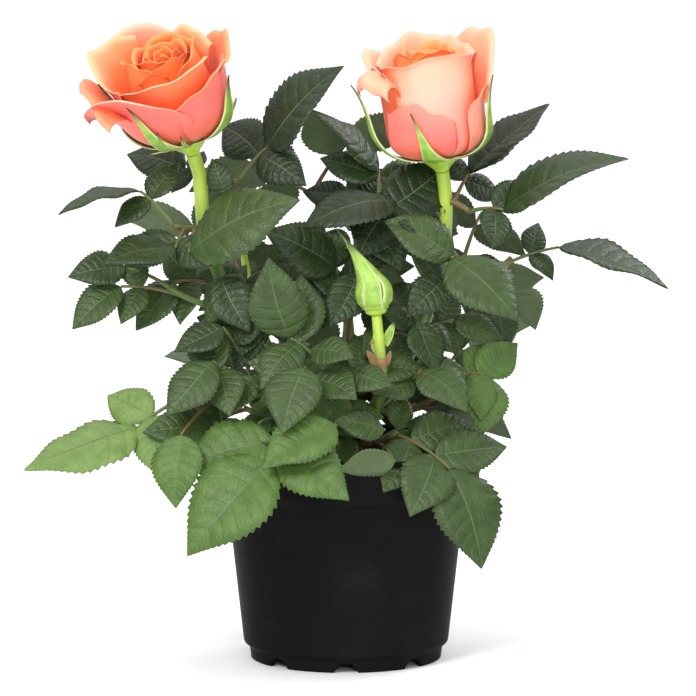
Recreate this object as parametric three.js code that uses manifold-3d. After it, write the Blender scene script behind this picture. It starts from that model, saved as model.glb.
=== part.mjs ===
// A potted patio rose: a black nursery pot of soil, a crown at the soil, six canes, two open blooms,
// a green bud, and masses of leaves. Millimetres, +Z up. The origin is on the pot's axis, at the
// level it stands on, and the plant's best side faces -Y.
import * as THREE from "three";
import { mergeVertices } from "three/addons/utils/BufferGeometryUtils.js";
import Module from "manifold-3d";

const wasm = await Module();
wasm.setup();

// ---- Driving dimensions ------------------------------------------------------------------------

const GAP = 0.35; // between pieces that touch
const SAME = 1e-3; // corners closer than this are one corner

const POT = {
  height: 91.4,
  lipRadius: 60, // a 12 cm pot
  lipHeight: 2.2,
  bandTop: 57.8, // the collar round the top of the wall
  bandFoot: 56,
  bandHeight: 18,
  shoulder: 2.5, // slope from the wall out to the collar
  wallTop: 50.6,
  wallFoot: 43.2,
  footRadius: 41,
  footHeight: 6.5,
  footDraft: 0.5, // how much narrower the foot is where it stands
  ringWidth: 2.7, // of the ring that the pot stands on
  ringSlope: 1.8, // from that ring in to the raised floor
  wall: 1.3,
  floorLevel: 4.5,
  sides: 32,
};
const NOTCH = { count: 8, width: 10, height: 3.8, slant: 1.8, depth: 12 }; // drain gaps in the foot

const SOIL = { level: 84, clear: GAP + 0.2 };
const CROWN = { foot: 9.2, waist: 7.5, top: 8.9, height: 8, sides: 12, caneCircle: 6.1 };

const CANE = { foot: 2.6, sides: 6, steps: 9, rise: 7, straight: 9 };

const LEAF = {
  ratio: 0.64, // width over length
  thickness: 0.9,
  fold: 0.09, // depth of the fold along the midrib, over the length
  corners: { 0: 4, 23: 6, 34: 8 }, // corners of the outline, for a blade from this length on
  sink: 1.6, // how far a leaflet's root goes into its stalk
  thickest: 0.42, // share of the length
  widest: [1.12, 0.7], // the outline's width at root and tip over a plain oval's
};
const STALK = { root: 1.15, end: 0.85, sides: 3, steps: 2 };
const ARCHES = [0.12, 0.26, -0.05, -0.2]; // rises of a stalk over its length, tried in turn
const ROLLS = [0, 22, -22, 44, -44]; // turns of a blade about its midrib, tried in turn
const SHOOT = { root: 1.7, end: 1.3, sides: 5, steps: 4, square: 0.4 };

// A side pair stands at this share of the stalk, this share of the end leaflet's length.
const PAIRS = [
  { at: 0.72, size: 0.8, angle: 70 },
  { at: 0.3, size: 0.62, angle: 76 },
];
const PAIR_DROOP = 0.22;
const JITTER_DEG = 9;

const GOLDEN_TURN = 137.508;

// ---- Small helpers -----------------------------------------------------------------------------

const at = (x, y, z) => new THREE.Vector3(x, y, z);
const rad = THREE.MathUtils.degToRad;
const mix = THREE.MathUtils.lerp;
const UP = at(0, 0, 1);

// Park and Miller's generator, so that the same seed always grows the same plant.
function dice(seed) {
  let state = seed;
  return () => {
    state = (state * 16807) % 2147483647;
    return state / 2147483647;
  };
}

function solidOf(geometry) {
  const bare = geometry.index ? geometry.toNonIndexed() : geometry.clone();
  bare.deleteAttribute("normal");
  bare.deleteAttribute("uv");
  const merged = mergeVertices(bare, SAME);
  return new wasm.Manifold(
    new wasm.Mesh({
      numProp: 3,
      vertProperties: merged.attributes.position.array,
      triVerts: new Uint32Array(merged.index.array),
    }),
  );
}

// The mesh of a solid, with corners that lie together made one and without the triangles that
// vanish by it.
function geometryOf(solid) {
  const mesh = solid.getMesh();
  const places = new Float32Array(mesh.numVert * 3);
  for (let i = 0; i < mesh.numVert; i++) {
    const start = i * mesh.numProp;
    places.set(mesh.vertProperties.subarray(start, start + 3), i * 3);
  }
  const loose = new THREE.BufferGeometry();
  loose.setAttribute("position", new THREE.BufferAttribute(places, 3));
  loose.setIndex(new THREE.BufferAttribute(mesh.triVerts, 1));
  const geometry = mergeVertices(loose, SAME);
  const corners = Array.from(geometry.index.array);
  const whole = [];
  for (let i = 0; i < corners.length; i += 3) {
    const [a, b, c] = corners.slice(i, i + 3);
    if (a !== b && b !== c && a !== c) whole.push(a, b, c);
  }
  geometry.setIndex(whole);
  geometry.computeVertexNormals();
  return geometry;
}

// Whether each edge of a solid's mesh lies between just two triangles.
function closes(solid) {
  const corners = geometryOf(solid).index.array;
  const uses = new Map();
  for (let i = 0; i < corners.length; i++) {
    const ends = [corners[i], corners[i % 3 === 2 ? i - 2 : i + 1]].sort((a, b) => a - b);
    const edge = ends.join();
    uses.set(edge, (uses.get(edge) ?? 0) + 1);
  }
  return [...uses.values()].every((count) => count === 2);
}

// A turned shape about +Z, from [radius, z] corners that start and end on the axis.
function turned(profile, sides) {
  const outline = profile.map(([radius, z]) => new THREE.Vector2(radius, z));
  return new THREE.LatheGeometry(outline, sides).rotateX(Math.PI / 2);
}

// Moves every vertex of a geometry by a rule.
function reshape(geometry, rule) {
  const places = geometry.attributes.position;
  const point = at(0, 0, 0);
  for (let i = 0; i < places.count; i++) {
    point.fromBufferAttribute(places, i);
    const moved = rule(point.x, point.y, point.z);
    places.setXYZ(i, moved.x, moved.y, moved.z);
  }
  return geometry;
}

function largestPart(solid) {
  const parts = solid.decompose();
  return parts.reduce((best, part) => (part.volume() > best.volume() ? part : best));
}

const clashes = (a, b) => a.intersect(b).volume() > 1e-4;

// Two directions square to a direction, the same way round for every direction.
function squareTo(direction, hint) {
  const side = at(0, 0, 0).crossVectors(hint, direction).normalize();
  return [side, at(0, 0, 0).crossVectors(direction, side)];
}

// A round limb along a curve, tapering from one radius to the other. It starts as a closed cylinder.
function limb(curve, rootRadius, endRadius, sides, steps, hint) {
  const cylinder = new THREE.CylinderGeometry(1, 1, 1, sides, steps);
  return reshape(cylinder, (x, y, z) => {
    const t = y + 0.5;
    const [side, out] = squareTo(curve.getTangent(t), hint);
    const radius = mix(rootRadius, endRadius, t);
    return curve.getPoint(t).addScaledVector(side, z * radius).addScaledVector(out, x * radius);
  });
}

// A bowed line from one point to another: arch is its rise over its length.
function bow(from, to, arch) {
  const middle = from.clone().lerp(to, 0.5);
  middle.addScaledVector(UP, arch * from.distanceTo(to));
  return new THREE.QuadraticBezierCurve3(from, middle, to);
}

// ---- The pot and the soil ----------------------------------------------------------------------

function potSolid() {
  const p = POT;
  const bandLevel = p.height - p.bandHeight;
  const ringInside = p.footRadius - p.footDraft - p.ringWidth;
  const inner = (radius) => radius - p.wall;
  const profile = [
    [0, p.floorLevel],
    [ringInside - p.ringSlope, p.floorLevel],
    [ringInside, 0],
    [p.footRadius - p.footDraft, 0],
    [p.footRadius, p.footHeight - 2],
    [p.wallFoot, p.footHeight + 1],
    [p.wallTop, bandLevel - p.shoulder],
    [p.bandFoot, bandLevel],
    [p.bandTop, p.height - p.lipHeight],
    [p.lipRadius, p.height - p.lipHeight],
    [p.lipRadius, p.height],
    [inner(p.bandTop), p.height],
    [inner(p.bandFoot), bandLevel],
    [inner(p.wallTop), bandLevel - p.shoulder],
    [inner(p.wallFoot), p.footHeight + 1],
    [inner(p.footRadius), p.floorLevel + p.wall],
    [0, p.floorLevel + p.wall],
  ];
  let pot = solidOf(turned(profile, p.sides));
  const n = NOTCH;
  for (let i = 0; i < n.count; i++) {
    const arch = new THREE.Shape();
    arch.moveTo(-n.width / 2, -1);
    arch.lineTo(n.width / 2, -1);
    arch.lineTo(n.width / 2 - n.slant, n.height);
    arch.lineTo(n.slant - n.width / 2, n.height);
    arch.closePath();
    const cutter = new THREE.ExtrudeGeometry(arch, { depth: n.depth, bevelEnabled: false });
    cutter.rotateX(Math.PI / 2);
    cutter.translate(0, (2 / 3) * n.depth - p.footRadius, 0);
    cutter.rotateZ((i * 2 * Math.PI) / n.count);
    pot = pot.subtract(solidOf(cutter));
  }
  return pot;
}

function soilSolid() {
  const p = POT;
  const bandLevel = p.height - p.bandHeight;
  const bottom = p.floorLevel + p.wall + SOIL.clear;
  const inside = (radius) => radius - p.wall - SOIL.clear;
  const profile = [
    [0, bottom],
    [inside(p.footRadius) - SOIL.clear, bottom],
    [inside(p.wallFoot), p.footHeight + 2 * SOIL.clear],
    [inside(p.wallTop), bandLevel - p.shoulder],
    [inside(p.bandFoot), bandLevel],
    [inside(mix(p.bandFoot, p.bandTop, (SOIL.level - bandLevel) / p.bandHeight)), SOIL.level],
    [0, SOIL.level],
  ];
  return solidOf(turned(profile, p.sides));
}

// ---- Crown and canes ---------------------------------------------------------------------------

const CROWN_BASE = SOIL.level + GAP;
const CANE_LEVEL = CROWN_BASE + CROWN.height + GAP;

function crownSolid() {
  const c = CROWN;
  const profile = [
    [0, 0],
    [c.foot, 0],
    [c.waist, c.height / 2],
    [c.top, c.height],
    [0, c.height],
  ];
  return solidOf(turned(profile, c.sides).translate(0, 0, CROWN_BASE));
}

// A bloom stands on its receptacle: where the receptacle's top is, which way it faces, and by how
// many degrees its petals nod forward at the height of their rims.
const BLOOMS = {
  bloom_left: { seat: at(-66, -12.5, 222), face: at(-0.28, -0.16, 0.947).normalize(), nod: 15 },
  bloom_right: { seat: at(39.6, 0, 214), face: at(-0.13, -0.09, 0.985).normalize(), nod: 0 },
};
const NOD_HEIGHT = 45;
const BUD = { seat: at(12.6, -42, 151.5), face: at(-0.1, 0, 0.99).normalize() };
const RECEPTACLE = { height: 7, top: 8.2, neck: 3.1, sides: 10 };
const behind = (flower, distance) =>
  flower.seat.clone().addScaledVector(flower.face, -distance);

const CANES = {
  cane_left: {
    bearing: 205,
    through: [at(-24, -14, 116), at(-46, -19, 150), at(-59, -10, 182)],
    flower: BLOOMS.bloom_left,
    below: RECEPTACLE.height + GAP,
    endRadius: 3,
  },
  cane_right: {
    bearing: -25,
    through: [at(20, -3, 118), at(35, 1, 148), at(41.5, 3, 176)],
    flower: BLOOMS.bloom_right,
    below: RECEPTACLE.height + GAP,
    endRadius: 3,
  },
  cane_bud: {
    bearing: -90,
    through: [at(9, -22, 104), at(15, -37, 122)],
    flower: BUD,
    below: GAP,
    endRadius: 2.1,
  },
  cane_back: {
    bearing: 90,
    through: [at(-1, 20, 118), at(2, 24, 150)],
    end: at(6, 18, 186),
    endRadius: 1.5,
  },
  cane_back_left: {
    bearing: 147,
    through: [at(-24, 24, 114), at(-38, 34, 140)],
    end: at(-44, 38, 168),
    endRadius: 1.5,
  },
  cane_back_right: {
    bearing: 33,
    through: [at(26, 24, 114), at(42, 34, 136)],
    end: at(50, 38, 160),
    endRadius: 1.5,
  },
};

function caneCurve(cane) {
  const turn = rad(cane.bearing);
  const foot = at(Math.cos(turn), Math.sin(turn), 0).multiplyScalar(CROWN.caneCircle);
  foot.z = CANE_LEVEL;
  const rise = foot.clone().add(at(foot.x * 0.15, foot.y * 0.15, CANE.rise));
  // A flowering cane comes in square to its flower.
  const top = cane.flower
    ? [behind(cane.flower, cane.below + CANE.straight), behind(cane.flower, cane.below)]
    : [cane.end];
  return new THREE.CatmullRomCurve3([foot, rise, ...cane.through, ...top]);
}

// ---- Leaves ------------------------------------------------------------------------------------

// A leaflet's blade: a ball of two cones whose rim is drawn out to the leaf's outline and whose
// poles give its thickness, folded a little along the midrib.
function bladeSolid(root, tip, normal, grow = 0) {
  const length = root.distanceTo(tip);
  const ahead = tip.clone().sub(root).normalize();
  const up = normal.clone().addScaledVector(ahead, -normal.dot(ahead)).normalize();
  const side = at(0, 0, 0).crossVectors(ahead, up);
  const halfWidth = (LEAF.ratio * length) / 2 + grow;
  const from = Object.keys(LEAF.corners).findLast((least) => length >= least);
  const ball = new THREE.SphereGeometry(1, LEAF.corners[from], 2);
  return solidOf(
    reshape(ball, (x, y, z) => {
      const along = (x + 1) / 2;
      const pole = Math.abs(y) > 0.5;
      const share = pole ? LEAF.thickest : along;
      const width = pole ? 0 : z * halfWidth * mix(...LEAF.widest, along);
      const lift = pole ? y * (LEAF.thickness / 2 + grow) : LEAF.fold * length * z * z;
      return root
        .clone()
        .addScaledVector(ahead, share * (length + LEAF.sink + grow) - LEAF.sink)
        .addScaledVector(side, width)
        .addScaledVector(up, lift);
    }),
  );
}

// The direction a blade's upper face looks: out, up, and to the front or the back of the plant.
function faceOf(place, facing) {
  const out = at(place.x, place.y, 0).normalize();
  return at(0.35 * out.x, 0.75 * facing, 0.6).normalize();
}

// The leaflets of one leaf, as {root, tip, normal}. The end leaflet comes first.
function leafletsOf(leaf, curve, facing, roll) {
  const { end, tip, pairs } = leaf;
  const size = end.distanceTo(tip);
  const ahead = tip.clone().sub(end).normalize();
  const normal = faceOf(end, facing).applyAxisAngle(ahead, rad(leaf.roll));
  const leaflets = [{ root: end, tip, normal }];
  for (let p = 0; p < pairs; p++) {
    const pair = PAIRS[p];
    const along = curve.getTangent(pair.at);
    const up = faceOf(end, facing);
    const side = at(0, 0, 0).crossVectors(along, up).normalize();
    for (const hand of [-1, 1]) {
      const angle = rad(pair.angle + JITTER_DEG * (2 * roll() - 1));
      const length = size * pair.size * (0.92 + 0.16 * roll());
      const way = along.clone().multiplyScalar(Math.cos(angle));
      way.addScaledVector(side, hand * Math.sin(angle)).addScaledVector(UP, -PAIR_DROOP);
      const root = curve.getPoint(pair.at);
      leaflets.push({ root, tip: root.clone().addScaledVector(way.normalize(), length), normal: up });
    }
  }
  return leaflets;
}

const leaf = (end, tip, pairs = 1, roll = 0) => ({ end, tip, pairs, roll });

// A leaf grown by the seeded rule, for the shoots that fill the crown. It leaves its shoot within
// the spread about the shoot's bearing, and its end leaflet hangs lower than its stalk points.
const ROOM = { side: 137, back: 91, low: 45 };
const inRoom = ({ x, y, z }) => Math.abs(x) < ROOM.side && y < ROOM.back && z > ROOM.low;
const FILL = { stalk: 25, blade: 33, pitchLow: -8, pitchHigh: 48, hang: 38 };
function grownLeaf(root, share, index, mass, roll) {
  const turn = ((index * GOLDEN_TURN) % 360) / 360 - 0.5;
  const bearing = rad(mass.bearing + turn * mass.spread);
  const pitch = mix(FILL.pitchLow, FILL.pitchHigh, share) + JITTER_DEG * (2 * roll() - 1);
  const way = (degrees) =>
    at(
      Math.cos(bearing) * Math.cos(rad(degrees)),
      Math.sin(bearing) * Math.cos(rad(degrees)),
      Math.sin(rad(degrees)),
    );
  const size = 0.88 + 0.24 * roll();
  const end = root.clone().addScaledVector(way(pitch), FILL.stalk * size);
  const tip = end.clone().addScaledVector(way(pitch - FILL.hang), FILL.blade * size);
  return leaf(end, tip);
}

// Each mass is a leafy shoot: the cane it grows on and how far up, the end of its stem, which way
// its leaves face (-1 front, 1 back), and its leaves. A mass with a bearing grows more by rule.
const MASSES = {
  leaves_left_top: {
    cane: "cane_left", from: 0.8, to: at(-45, -3, 203), facing: -1, seed: 11,
    leaves: [
      leaf(at(-68, 10, 207), at(-93, 22, 212), 1, 10),
      leaf(at(-50, -21, 199), at(-56, -17, 214), 0, 0),
      leaf(at(-35, 2, 219), at(-2, -8, 252), 1, -12),
    ],
  },
  leaves_left_high: {
    cane: "cane_left", from: 0.68, to: at(-72, -20, 186), facing: -1, seed: 12,
    leaves: [
      leaf(at(-65, -36, 177), at(-19, -49, 200), 0, 0),
      leaf(at(-71, -31, 178), at(-100, -45, 173), 1, 15),
      leaf(at(-86, -15, 202), at(-120, -23, 194), 1, 30),
    ],
  },
  leaves_left_mid: {
    cane: "cane_left", from: 0.52, to: at(-74, -27, 161), facing: -1, seed: 13,
    leaves: [
      leaf(at(-52, -32, 166), at(-40, -42, 144), 0, 0),
      leaf(at(-92, -24, 160), at(-110, -31, 143), 1, 0),
      leaf(at(-92, -18, 168), at(-116, -24, 165), 0, 0),
    ],
  },
  leaves_left_low: {
    cane: "cane_left", from: 0.36, to: at(-66, -46, 118), facing: -1, seed: 14,
    leaves: [
      leaf(at(-51, -41, 146), at(-71, -50, 137), 1, 0),
      leaf(at(-55, -52, 133), at(-74, -63, 112), 1, 0),
      leaf(at(-68, -62, 104), at(-70, -73, 75), 0, 0),
      leaf(at(-86, -46, 104), at(-133, -60, 89), 1, 30),
    ],
  },
  leaves_front_left: {
    cane: "cane_left", from: 0.16, to: at(-24, -54, 113), facing: -1, seed: 15,
    leaves: [
      leaf(at(-17, -62, 132), at(-26, -80, 107), 1, 0),
      leaf(at(-4, -70, 109), at(-34, -84, 93), 0, 0),
      leaf(at(-31, -72, 95), at(-65, -84, 57), 1, 0),
    ],
  },
  leaves_front_right: {
    cane: "cane_bud", from: 0.22, to: at(21, -38, 101), facing: -1, seed: 16,
    leaves: [
      leaf(at(16, -55, 105), at(-5, -63, 110), 0, 0),
      leaf(at(20, -62, 95), at(-4, -66, 93), 0, 150),
      leaf(at(43, -57, 89), at(56, -68, 49), 2, 0),
    ],
  },
  leaves_right_low: {
    cane: "cane_right", from: 0.25, to: at(50, -20, 124), facing: -1, seed: 17,
    leaves: [
      leaf(at(31, -45, 128), at(50, -60, 113), 1, 0),
      leaf(at(58, -24, 124), at(57, -40, 101), 2, 0),
    ],
  },
  leaves_right_high: {
    cane: "cane_right", from: 0.66, to: at(47, -22, 172), facing: -1, seed: 18,
    leaves: [
      leaf(at(39, -22, 182), at(22, -31, 189), 0, 0),
      leaf(at(44, -33, 174), at(71, -52, 150), 1, 0),
    ],
  },
  leaves_right_top: {
    cane: "cane_right", from: 0.8, to: at(52, -3, 190), facing: -1, seed: 19,
    leaves: [
      leaf(at(52, 10, 205), at(86, 18, 234), 1, -54),
      leaf(at(66, -12, 194), at(117, -18, 216), 1, -34),
    ],
  },
  leaves_right_far: {
    cane: "cane_right", from: 0.55, to: at(70, 4, 170), facing: -1, seed: 20,
    leaves: [
      leaf(at(90, 8, 174), at(136, 2, 157), 1, -34),
      leaf(at(62, 0, 152), at(66, -10, 130), 1, 0),
    ],
  },
  leaves_centre_high: {
    cane: "cane_back", from: 0.9, to: at(14, 2, 196), facing: -1, seed: 21,
    leaves: [
      leaf(at(21, -14, 196), at(-18, -30, 186), 1, 35),
      leaf(at(14, 14, 206), at(-13, 12, 230), 1, 30),
    ],
  },
  leaves_centre: {
    cane: "cane_bud", from: 0.45, to: at(-10, -42, 131), facing: -1, seed: 22,
    leaves: [
      leaf(at(2, -52, 129), at(19, -62, 124), 0, 0),
      leaf(at(-14, -50, 138), at(3, -64, 136), 0, 0),
      leaf(at(-23, -45, 142), at(-32, -50, 176), 1, 0),
    ],
  },
  leaves_inner: {
    cane: "cane_back", from: 0.5, to: at(2, -10, 158), facing: -1, seed: 23,
    leaves: [
      leaf(at(5, -24, 166), at(-7, -38, 146), 1, 0),
      leaf(at(-4, -16, 168), at(-34, -19, 184), 1, 0),
      leaf(at(8, -12, 186), at(23, -20, 167), 0, 0),
    ],
  },
  leaves_inner_left: {
    cane: "cane_left", from: 0.44, to: at(-46, -8, 158), facing: -1, seed: 24,
    leaves: [
      leaf(at(-36, -28, 150), at(-46, -37, 126), 1, 0),
      leaf(at(-44, -22, 166), at(-58, -30, 145), 1, 0),
      leaf(at(-72, -14, 162), at(-88, -20, 142), 1, 0),
    ],
  },
  leaves_inner_right: {
    cane: "cane_right", from: 0.42, to: at(34, -14, 152), facing: -1, seed: 25,
    leaves: [
      leaf(at(30, -28, 146), at(38, -38, 126), 1, 0),
      leaf(at(42, -18, 164), at(25, -26, 148), 1, 0),
    ],
  },
  leaves_low_left: {
    cane: "cane_left", from: 0.26, to: at(-42, -40, 112), facing: -1, seed: 26,
    leaves: [
      leaf(at(-38, -44, 126), at(-52, -54, 109), 0, 0),
      leaf(at(-36, -58, 108), at(-44, -70, 88), 0, 0),
      leaf(at(-55, -48, 106), at(-84, -56, 104), 1, 0),
    ],
  },
  leaves_back_top: {
    cane: "cane_back", from: 0.96, to: at(-14, 34, 196), facing: 1, seed: 31,
    bearing: 100, spread: 250, count: 4, leaves: [],
  },
  leaves_back_middle: {
    cane: "cane_back", from: 0.42, to: at(2, 56, 138), facing: 1, seed: 32,
    bearing: 90, spread: 150, count: 5, leaves: [],
  },
  leaves_back_left: {
    cane: "cane_back_left", from: 0.9, to: at(-50, 48, 168), facing: 1, seed: 33,
    bearing: 125, spread: 140, count: 4, leaves: [],
  },
  leaves_back_left_low: {
    cane: "cane_back_left", from: 0.4, to: at(-44, 42, 114), facing: 1, seed: 34,
    bearing: 110, spread: 110, count: 4, leaves: [],
  },
  leaves_back_right: {
    cane: "cane_back_right", from: 0.9, to: at(50, 50, 162), facing: 1, seed: 35,
    bearing: 62, spread: 120, count: 4, leaves: [],
  },
  leaves_back_right_low: {
    cane: "cane_back_right", from: 0.4, to: at(40, 44, 112), facing: 1, seed: 36,
    bearing: 70, spread: 110, count: 4, leaves: [],
  },
};

// The stem of a mass leaves its cane square, at a distance from the cane's middle, then bends to
// its own end.
function shootCurve(mass, away) {
  const curve = caneCurve(CANES[mass.cane]);
  const foot = curve.getPoint(mass.from);
  const along = curve.getTangent(mass.from);
  const reach = mass.to.clone().sub(foot);
  const out = reach.clone().addScaledVector(along, -reach.dot(along)).normalize();
  foot.addScaledVector(out, away);
  const bend = foot.clone().addScaledVector(out, SHOOT.square * foot.distanceTo(mass.to));
  return new THREE.QuadraticBezierCurve3(foot, bend, mass.to);
}

function shootSolid(curve) {
  return solidOf(limb(curve, SHOOT.root, SHOOT.end, SHOOT.sides, SHOOT.steps, at(0.3, 1, 0.2)));
}

// The stem is set as close to its cane as leaves it just clear.
function seatedShoot(mass, taken) {
  for (let away = 1; away < 6; away += 0.1) {
    if (!clashes(shootSolid(shootCurve(mass, away)), taken)) return shootCurve(mass, away + GAP);
  }
  throw new Error("a stem on " + mass.cane + " is blocked");
}

// The first blade, of those turned about its midrib, that keeps clear of what is in the way.
function clearBlade({ root, tip, normal }, inTheWay) {
  const ahead = tip.clone().sub(root).normalize();
  for (const turn of ROLLS) {
    const turned = normal.clone().applyAxisAngle(ahead, rad(turn));
    if (clashes(bladeSolid(root, tip, turned, GAP), inTheWay)) continue;
    return bladeSolid(root, tip, turned);
  }
  return null;
}

// A mass with one more leaf, its stalk on the first rise that is clear and doesn't pinch the mesh.
// A leaflet that would leave the room or touch another piece is left out, and so is a leaf whose
// stalk would.
function withLeaf(solid, made, root, mass, taken, inTheWay, roll) {
  for (const arch of ARCHES) {
    const curve = bow(root, made.end, arch);
    const stalk = solidOf(limb(curve, STALK.root, STALK.end, STALK.sides, STALK.steps, UP));
    if (clashes(stalk, taken)) continue;
    let leafy = stalk;
    for (const leaflet of leafletsOf(made, curve, mass.facing, roll)) {
      const blade = inRoom(leaflet.tip) && clearBlade(leaflet, inTheWay);
      if (blade) leafy = leafy.add(blade);
    }
    const joined = solid.add(leafy);
    if (closes(joined)) return [joined, inTheWay.add(leafy)];
  }
  return [solid, inTheWay];
}

// One mass: its stem, then leaf by leaf.
function massSolid(mass, taken) {
  const roll = dice(mass.seed);
  const shoot = seatedShoot(mass, taken);
  let solid = shootSolid(shoot);
  let inTheWay = taken;
  const count = mass.leaves.length + (mass.count ?? 0);
  for (let i = 0; i < count; i++) {
    const share = count > 1 ? mix(0.3, 0.98, i / (count - 1)) : 0.9;
    const root = shoot.getPoint(share);
    const made = mass.leaves[i] ?? grownLeaf(root, share, i, mass, roll);
    [solid, inTheWay] = withLeaf(solid, made, root, mass, taken, inTheWay, roll);
  }
  return largestPart(solid);
}

// ---- Blooms and bud ----------------------------------------------------------------------------

// Petals spiral out from a furled heart. Sizes run from the innermost petal to the outermost.
const PETALS = {
  count: 8,
  radius: [12, 24.5],
  height: [38, 41],
  halfTurn: [70, 50], // how far a petal wraps round the axis to each side, in degrees
  flare: [-2, 5], // how far its rim leans out
  thickness: 1.1,
};
const HEART = { profile: [[0, GAP], [4, GAP], [10, 10], [11, 24], [6, 35], [0, 36.5]], sides: 8 };
const GUARDS = {
  // Loose outer petals that stand away from the ball: bearing, flare, height.
  bloom_left: [[197, 13, 27], [112, 3, 46], [14, 6, 42], [238, 8, 27]],
  bloom_right: [[20, 5, 49], [186, 8, 33], [108, 0, 46], [250, 1, 20]],
};

// The round-bottomed cup that the petals of a radius make, at a share of its height.
const cupReach = (radius, rise) =>
  radius * (0.16 + 0.84 * Math.sin(Math.min(1, rise * 3.2) * (Math.PI / 2)) ** 0.65);

// A petal is a thin box, wrapped round the bloom's axis and drawn in at its foot and its corners.
// Its rows stand closest at the foot, where it curves most.
function petalSolid(bearing, radius, height, halfTurn, flare) {
  const sheet = new THREE.BoxGeometry(2, 1, 1, 3, 3, 1);
  return solidOf(
    reshape(sheet, (x, y, z) => {
      const rise = (y + 0.5) ** 1.9;
      const reach = cupReach(radius, rise) + flare * rise ** 3 + PETALS.thickness * z;
      const width = 0.45 + 0.55 * Math.sin(Math.PI * Math.min(0.5, rise * 0.62 + 0.1));
      const turn = rad(bearing + halfTurn * x * width);
      const level = height * rise * (1 - 0.2 * x * x * rise);
      return at(reach * Math.cos(turn), reach * Math.sin(turn), level);
    }),
  );
}

const LOOSE = 42; // half turn of a guard petal, in degrees

const moved = (solid, matrix) => solidOf(geometryOf(solid).applyMatrix4(matrix));

// Bends a flower made about +Z forward, the more the higher a point is above its seat.
function nodded(solid, nod) {
  return solidOf(
    reshape(geometryOf(solid), (x, y, z) => {
      const turn = rad(nod) * Math.min(1, Math.max(0, z / NOD_HEIGHT));
      return at(x, y * Math.cos(turn) - z * Math.sin(turn), y * Math.sin(turn) + z * Math.cos(turn));
    }),
  );
}

// Turns a solid made about +Z round to a flower's seat and face.
function placed(solid, flower) {
  const turn = new THREE.Quaternion().setFromUnitVectors(UP, flower.face);
  return moved(solid, new THREE.Matrix4().compose(flower.seat, turn, at(1, 1, 1)));
}

// A bloom grown a little from its seat: the room that its sepals keep clear of.
const swollen = (bloom) => moved(bloom, new THREE.Matrix4().makeScale(1.03, 1.03, 1.03));

function bloomSolid(name) {
  const between = ([inside, outside], share) => mix(inside, outside, share);
  let bloom = solidOf(turned(HEART.profile, HEART.sides));
  for (let i = 0; i < PETALS.count; i++) {
    const share = (i + 0.5) / PETALS.count;
    bloom = bloom.add(
      petalSolid(
        i * GOLDEN_TURN,
        between(PETALS.radius, share),
        between(PETALS.height, share),
        between(PETALS.halfTurn, share),
        between(PETALS.flare, share),
      ),
    );
  }
  for (const [bearing, flare, height] of GUARDS[name]) {
    bloom = bloom.add(petalSolid(bearing, PETALS.radius[1] + 1, height, LOOSE, flare));
  }
  const aboveSeat = new THREE.BoxGeometry(200, 200, 100);
  aboveSeat.translate(0, 0, 50 + GAP);
  return bloom.intersect(solidOf(aboveSeat));
}

const SEPALS = { count: 5, bearing: 40, length: 29, width: 8, thickness: 1.1, clear: 1.8, tuck: 1.4 };

// Five sepals rise from the receptacle and follow the bloom's cup.
function calyxSolid() {
  const profile = [
    [0, -RECEPTACLE.height],
    [RECEPTACLE.neck, -RECEPTACLE.height],
    [RECEPTACLE.neck + 1.2, -RECEPTACLE.height * 0.7],
    [RECEPTACLE.top, -1.2],
    [RECEPTACLE.top, -0.2],
    [0, -0.2],
  ];
  let calyx = solidOf(turned(profile, RECEPTACLE.sides));
  for (let i = 0; i < SEPALS.count; i++) {
    const blade = new THREE.BoxGeometry(1, 1, 1, 1, 5, 1);
    const turn = rad(SEPALS.bearing + (i * 360) / SEPALS.count);
    const sepal = reshape(blade, (x, y, z) => {
      const rise = (y + 0.5) ** 1.5;
      const half = (SEPALS.width / 2) * (1 - rise) ** 0.7 + 0.25;
      const cup = cupReach(PETALS.radius[1], (rise * SEPALS.length) / PETALS.height[1]);
      const reach = Math.max(RECEPTACLE.top - SEPALS.tuck, cup + SEPALS.clear) + 3 * rise ** 3;
      const out = at(Math.cos(turn), Math.sin(turn), 0);
      const aside = at(-Math.sin(turn), Math.cos(turn), 0);
      return out
        .multiplyScalar(reach + z * SEPALS.thickness)
        .addScaledVector(aside, 2 * x * half)
        .addScaledVector(UP, SEPALS.length * rise - 1);
    });
    calyx = calyx.add(solidOf(sepal));
  }
  return calyx;
}

const BUD_SHAPE = {
  profile: [
    [0, 0], [4.2, 0], [4.4, 2], [7.4, 6], [7.6, 10], [5.6, 16], [2.6, 23], [1, 31], [0, 33],
  ],
  sides: 10,
};

const budSolid = () => placed(solidOf(turned(BUD_SHAPE.profile, BUD_SHAPE.sides)), BUD);

// ---- The plant ---------------------------------------------------------------------------------

const COLOURS = {
  pot: [0.022, 0.022, 0.023, 0.42],
  soil: [0.03, 0.018, 0.012, 0.95],
  bark: [0.16, 0.13, 0.05, 0.7],
  cane: [0.2, 0.33, 0.06, 0.45],
  leaf: [0.05, 0.13, 0.04, 0.45],
  petal: [0.9, 0.22, 0.09, 0.55],
  calyx: [0.33, 0.52, 0.1, 0.5],
};

function finish(name) {
  const [red, green, blue, roughness] = COLOURS[name];
  return new THREE.MeshStandardMaterial({
    color: new THREE.Color(red, green, blue),
    roughness,
    metalness: 0,
  });
}

const plant = new THREE.Group();
let taken;

function addNode(name, solid, finishName) {
  const mesh = new THREE.Mesh(geometryOf(solid), finish(finishName));
  mesh.name = name;
  plant.add(mesh);
  taken = taken ? taken.add(solid) : solid;
}

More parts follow.
